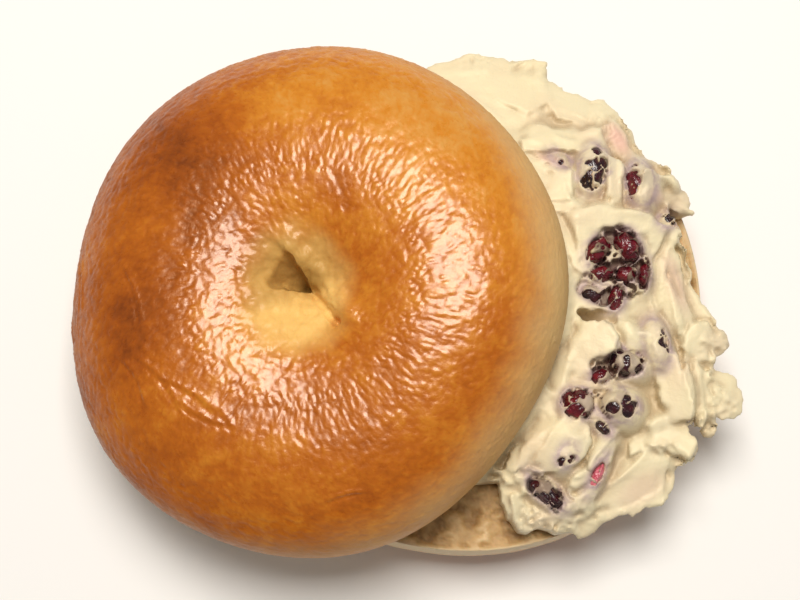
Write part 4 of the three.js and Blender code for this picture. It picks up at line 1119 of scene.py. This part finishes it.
def smoothed(values, times):
    """A grid of values averaged with their neighbours several times."""
    for _ in range(times):
        for axis in (0, 1):
            values = (np.roll(values, 1, axis) + 2 * values + np.roll(values, -1, axis)) / 4
    return values


def spread_field(lines):
    """Signed distance to the spread, about, on the grid, negative inside. And the colour fields on it,
    painted shade among them.
    """
    x, y, z = lines
    gx, gy = np.meshgrid(x, y, indexing="ij")
    surface, outline = spread_surface(gx, gy)
    surface, film, juice_and_painted_shade = berry_windows(gx, gy, surface)
    # Painted shade: the spread is coloured darker where its surface lies below its surroundings, over wide
    # hollows and in thin creases.
    wide = smoothed(np.clip((smoothed(surface, 40) - surface) / 1.1, 0, 1), 3)
    thin = smoothed(np.clip((smoothed(surface, 6) - surface) / 0.22 - 0.15, 0, 1), 1)
    off_bread = smoothstep(np.hypot(gx, gy), BOTTOM.radius - 1, BOTTOM.radius + 1.5)
    thick = np.clip(THINNEST + 1.2 * np.maximum(-outline, 0), THINNEST, THICKEST)
    floor = lerp(BOTTOM.height - INTO_BREAD, surface - thick, off_bread)
    level = z[None, None, :]
    roof = smooth_max(level - surface[:, :, None], outline[:, :, None], EDGE_ROUND)
    field = smooth_max(roof, floor[:, :, None] - level, 0.5)
    return field, {"stain": film, "juice_and_painted_shade": juice_and_painted_shade, "painted_hollow_shade": np.maximum(0.7 * wide, 0.8 * thin)}


def make_spread(material):
    lines = spread_grid()
    grid, shades = spread_field(lines)
    for border in (0, -1):
        grid[border] = grid[:, border] = grid[:, :, border] = 1
    points, quads = surface_net(grid, lines)
    i, j = (np.searchsorted(lines[axis], points[:, axis]) - 1 for axis in (0, 1))
    blush = 0.25 * np.clip(noise(points, 9.0, 261), 0, 1)
    for *place, amount in BLUSHES:
        u, v = over_oval(points[:, 0], points[:, 1], *place)
        blush = np.maximum(blush, amount * (1 - smoothstep(np.hypot(u, v), 0.2, 1.2)))
    mesh_piece(
        "cream_cheese_spread", points, np.zeros((0, 3), int), quads, "cream_cheese", "cream_cheese",
        material, blush=blush, **{name: shade[i, j] for name, shade in shades.items()},
    )


# ---- Berries ----


def berry_surface(index, place, halves, yaw):
    """A lumpy, slightly crushed berry."""
    ball = Rings()
    for t in np.linspace(0, pi, BERRY_RINGS)[1:-1]:
        ball.add(BERRY_RING, lambda angle: polar(sin(t), angle, cos(t)))
    unit, tris, quads = ball.surface([0, 0, 1], [0, 0, -1])
    x, y, z = unit.T
    lobes = LOBE_HEIGHT * np.cos(LOBES * np.arctan2(y, x) + index) * (1 - z**2)
    dents = DENT * bell(noise(unit * 3, 1.0, 401 + index), 0.2)
    crush = CRUSH * noise(unit * 3, 1.6, 301 + index) - dents
    body = unit * (0.97 + lobes + crush)[:, None] * halves
    x, y = turned(body[:, 0], body[:, 1], -yaw)
    return np.stack([x, y, body[:, 2]], -1) + place, tris, quads


def make_berries(materials):
    for index, (x, y, z, *halves, yaw, skin, _, _, _) in enumerate(BERRIES):
        surface = berry_surface(index, [x, y, z], halves, yaw)
        number = f"{index + 1:02d}"
        mesh_piece(f"fruit_{number}", *surface, f"berry_{number}", f"berry_{skin}", materials[skin])


# ---- Materials ----


def srgb(r, g, b):
    """A colour given as it looks on screen, 0 to 255, as the shader wants it."""
    c = np.array([r, g, b]) / 255
    return (*np.where(c <= 0.04045, c / 12.92, ((c + 0.055) / 1.055) ** 2.4), 1.0)


class Nodes:
    """Short ways to add and join a material's nodes."""

    def __init__(self, name):
        self.material = bpy.data.materials.new(name)
        self.material.use_nodes = True
        self.tree = self.material.node_tree
        self.shader = self.tree.nodes["Principled BSDF"]

    def put(self, socket, value):
        """Joins an output to an input, or sets the input to a plain value."""
        if isinstance(value, bpy.types.NodeSocket):
            self.tree.links.new(value, socket)
        else:
            socket.default_value = value

    def add(self, kind, inputs, output=0, **settings):
        """Adds a node with its settings and inputs, and returns one of its outputs."""
        node = self.tree.nodes.new(kind)
        for key, value in settings.items():
            setattr(node, key, value)
        for key, value in inputs.items():
            self.put(node.inputs[key], value)
        return node.outputs[output]

    def field(self, name):
        return self.add("ShaderNodeAttribute", {}, "Fac", attribute_name=name)

    def noise(self, scale, detail=4.0, roughness=0.55, distortion=0.0):
        inputs = {"Scale": scale, "Detail": detail, "Roughness": roughness, "Distortion": distortion}
        inputs["Vector"] = self.add("ShaderNodeTexCoord", {}, "Object")
        return self.add("ShaderNodeTexNoise", inputs, "Fac")

    def maths(self, operation, a, b, clamp=False):
        return self.add("ShaderNodeMath", {0: a, 1: b}, operation=operation, use_clamp=clamp)

    def scaled(self, value, factor):
        return self.maths("MULTIPLY", value, factor)

    def mix(self, a, b, factor):
        return self.add("ShaderNodeMix", {0: factor, 6: a, 7: b}, 2, data_type="RGBA")

    def ramp(self, value, *stops):
        """The colour for a value, between stops that each have a place and a colour."""
        output = self.add("ShaderNodeValToRGB", {0: value})
        elements = output.node.color_ramp.elements
        while len(elements) < len(stops):
            elements.new(0.5)
        for element, (at, color) in zip(elements, stops):
            element.position = at
            element.color = color
        return output

    def between(self, value, low, high):
        """Black up to the value low and white from high on."""
        return self.ramp(value, (low, (0, 0, 0, 1)), (high, (1, 1, 1, 1)))

    def bump(self, height, distance):
        inputs = {"Distance": distance, "Height": height}
        self.put(self.shader.inputs["Normal"], self.add("ShaderNodeBump", inputs))

    def shade(self, **inputs):
        for key, value in inputs.items():
            self.put(self.shader.inputs[key.replace("_", " ")], value)


def crust_color(n, scale):
    """Baked crust, paler or darker by the field bake and mottled."""
    mottle = n.scaled(n.maths("SUBTRACT", n.noise(scale, 6, 0.6), 0.5), 0.3)
    bake = n.maths("ADD", n.field("bake"), mottle, clamp=True)
    return n.ramp(
        bake, (0.0, srgb(210, 178, 126)), (0.2, srgb(214, 160, 84)), (0.45, srgb(206, 130, 34)),
        (0.65, srgb(180, 96, 12)), (0.82, srgb(156, 76, 4)), (1.0, srgb(120, 54, 2)),
    )


def top_material():
    n = Nodes("glazed crust")
    crust = n.mix(crust_color(n, 140), srgb(212, 176, 118), n.field("rim"))
    dough = n.mix(srgb(196, 156, 88), srgb(240, 198, 118), n.field("sunlit"))
    dough = n.mix(dough, srgb(206, 150, 72), n.scaled(n.noise(220, 4), 0.5))
    # painted shade in the navel's pocket
    dough = n.mix(dough, srgb(150, 112, 52), n.field("cave"))
    color = n.mix(crust, dough, n.field("pale"))
    color = n.mix(color, srgb(226, 198, 146), n.field("cut"))
    n.shade(Base_Color=color, Subsurface_Weight=0.08, Subsurface_Scale=0.0015)
    n.shade(Subsurface_Radius=(1.0, 0.5, 0.2), Specular_Tint=srgb(255, 216, 170))
    plain = n.maths("MAXIMUM", n.field("pale"), n.field("rim"))
    rough = n.maths("ADD", 0.2, n.scaled(n.noise(900, 3), 0.2))
    n.shade(Roughness=n.maths("ADD", rough, n.scaled(plain, 0.25)))
    dull = n.maths("MAXIMUM", plain, n.field("side"))
    n.shade(Coat_Weight=n.maths("SUBTRACT", 0.65, n.scaled(dull, 0.6)), Coat_Roughness=0.2)
    n.shade(Specular_IOR_Level=n.maths("SUBTRACT", 0.5, n.scaled(n.field("side"), 0.4)))
    n.bump(n.noise(1500, 5, 0.6), 0.0001)
    return n.material


def bottom_material():
    n = Nodes("pale bread")
    crust = n.mix(crust_color(n, 160), srgb(212, 188, 148), n.field("rim"))
    # Painted shade: the crumb darkens with the depth of its hollows; the noise adds random tone.
    shade = n.maths("ADD", n.scaled(n.field("depth"), 0.4), n.scaled(n.noise(260, 6), 0.6))
    crumb = n.ramp(
        shade, (0.2, srgb(218, 188, 140)), (0.5, srgb(194, 157, 104)), (0.9, srgb(152, 114, 66))
    )
    n.shade(Base_Color=n.mix(crust, crumb, n.field("cut")), Roughness=0.5)
    n.shade(Subsurface_Weight=0.1, Subsurface_Scale=0.002)
    n.bump(n.noise(1600, 6, 0.65), 0.0002)
    return n.material


def spread_material():
    n = Nodes("cream cheese")
    ivory = n.mix(srgb(234, 224, 192), srgb(229, 213, 172), n.noise(60, 4))
    ivory = n.mix(ivory, srgb(222, 172, 160), n.field("blush"))
    # painted shade in the spread's hollows and creases
    ivory = n.mix(ivory, srgb(178, 156, 124), n.field("painted_hollow_shade"))
    streaks = n.between(n.noise(240, 3, 0.5, 0.6), 0.3, 0.54)
    stain = n.mix(srgb(216, 196, 194), srgb(104, 70, 86), n.noise(330, 2))
    color = n.mix(ivory, stain, n.maths("MULTIPLY", n.field("stain"), streaks, clamp=True))
    # near-black maroon in the deep places between the berries: berry stain and painted shade
    color = n.mix(color, srgb(60, 10, 20), n.scaled(n.field("juice_and_painted_shade"), 0.97))
    n.shade(Base_Color=color, Roughness=0.45, Subsurface_Weight=0.06, Subsurface_Scale=0.0008)
    n.shade(Subsurface_Radius=(1.0, 0.8, 0.55), Specular_Tint=srgb(255, 236, 200))
    n.shade(Coat_Weight=0.06, Coat_Roughness=0.25)
    n.bump(n.noise(700, 6, 0.6), 0.00015)
    return n.material


def berry_material(name, dark, light):
    n = Nodes(name)
    skin = n.mix(dark, light, n.between(n.noise(420, 5), 0.4, 0.7))
    smear = n.between(n.noise(520, 6, 0.6, 0.8), 0.66, 0.72)
    n.shade(Base_Color=n.mix(skin, srgb(232, 206, 190), smear), Roughness=0.22)
    n.shade(Coat_Weight=0.5, Coat_Roughness=0.08)
    n.bump(n.noise(1400, 4), 0.0002)
    return n.material


# ---- Stage ----


def add_facing(name, data, place, target):
    """Adds a lamp or camera at place that faces target."""
    thing = bpy.data.objects.new(name, data)
    thing.location = place
    thing.rotation_euler = Vector(np.array(target) - place).to_track_quat("-Z", "Y").to_euler()
    bpy.context.scene.collection.objects.link(thing)
    return thing


def make_stage():
    bpy.ops.mesh.primitive_plane_add(size=4, location=(0, 0, 0))
    floor = bpy.context.object
    floor.name = "floor"
    n = Nodes("pale floor")
    n.shade(Base_Color=srgb(246, 245, 243), Roughness=0.8)
    floor.data.materials.append(n.material)

    world = bpy.data.worlds.new("studio")
    world.use_nodes = True
    background = world.node_tree.nodes["Background"]
    background.inputs["Color"].default_value = (1.0, 0.985, 0.96, 1)
    background.inputs["Strength"].default_value = 0.22
    bpy.context.scene.world = world

    light = bpy.data.lights.new("key", "AREA")
    light.size = 0.32
    light.energy = 5.6
    light.color = (1.0, 0.95, 0.88)
    add_facing("key", light, (-0.01, 0.15, 0.74), (0, 0, 0.03))
    bpy.context.scene.view_settings.view_transform = "Standard"


def make_camera():
    target = (CAMERA.target + PLACE) * MM
    elevation = radians(CAMERA.elevation)
    way = np.array([0, -cos(elevation), sin(elevation)])
    lens = bpy.data.cameras.new("camera")
    lens.lens = 70
    lens.sensor_width = 36
    place = target + CAMERA.distance * MM * way
    bpy.context.scene.camera = add_facing("camera", lens, place, target)


make_top(top_material())
make_bottom(bottom_material())
make_spread(spread_material())
make_berries(
    {
        "dark": berry_material("dark berry", srgb(28, 8, 18), srgb(66, 8, 20)),
        "red": berry_material("red berry", srgb(66, 4, 18), srgb(122, 14, 34)),
        "pink": berry_material("pink berry", srgb(186, 62, 84), srgb(222, 128, 140)),
    }
)
make_stage()
make_camera()
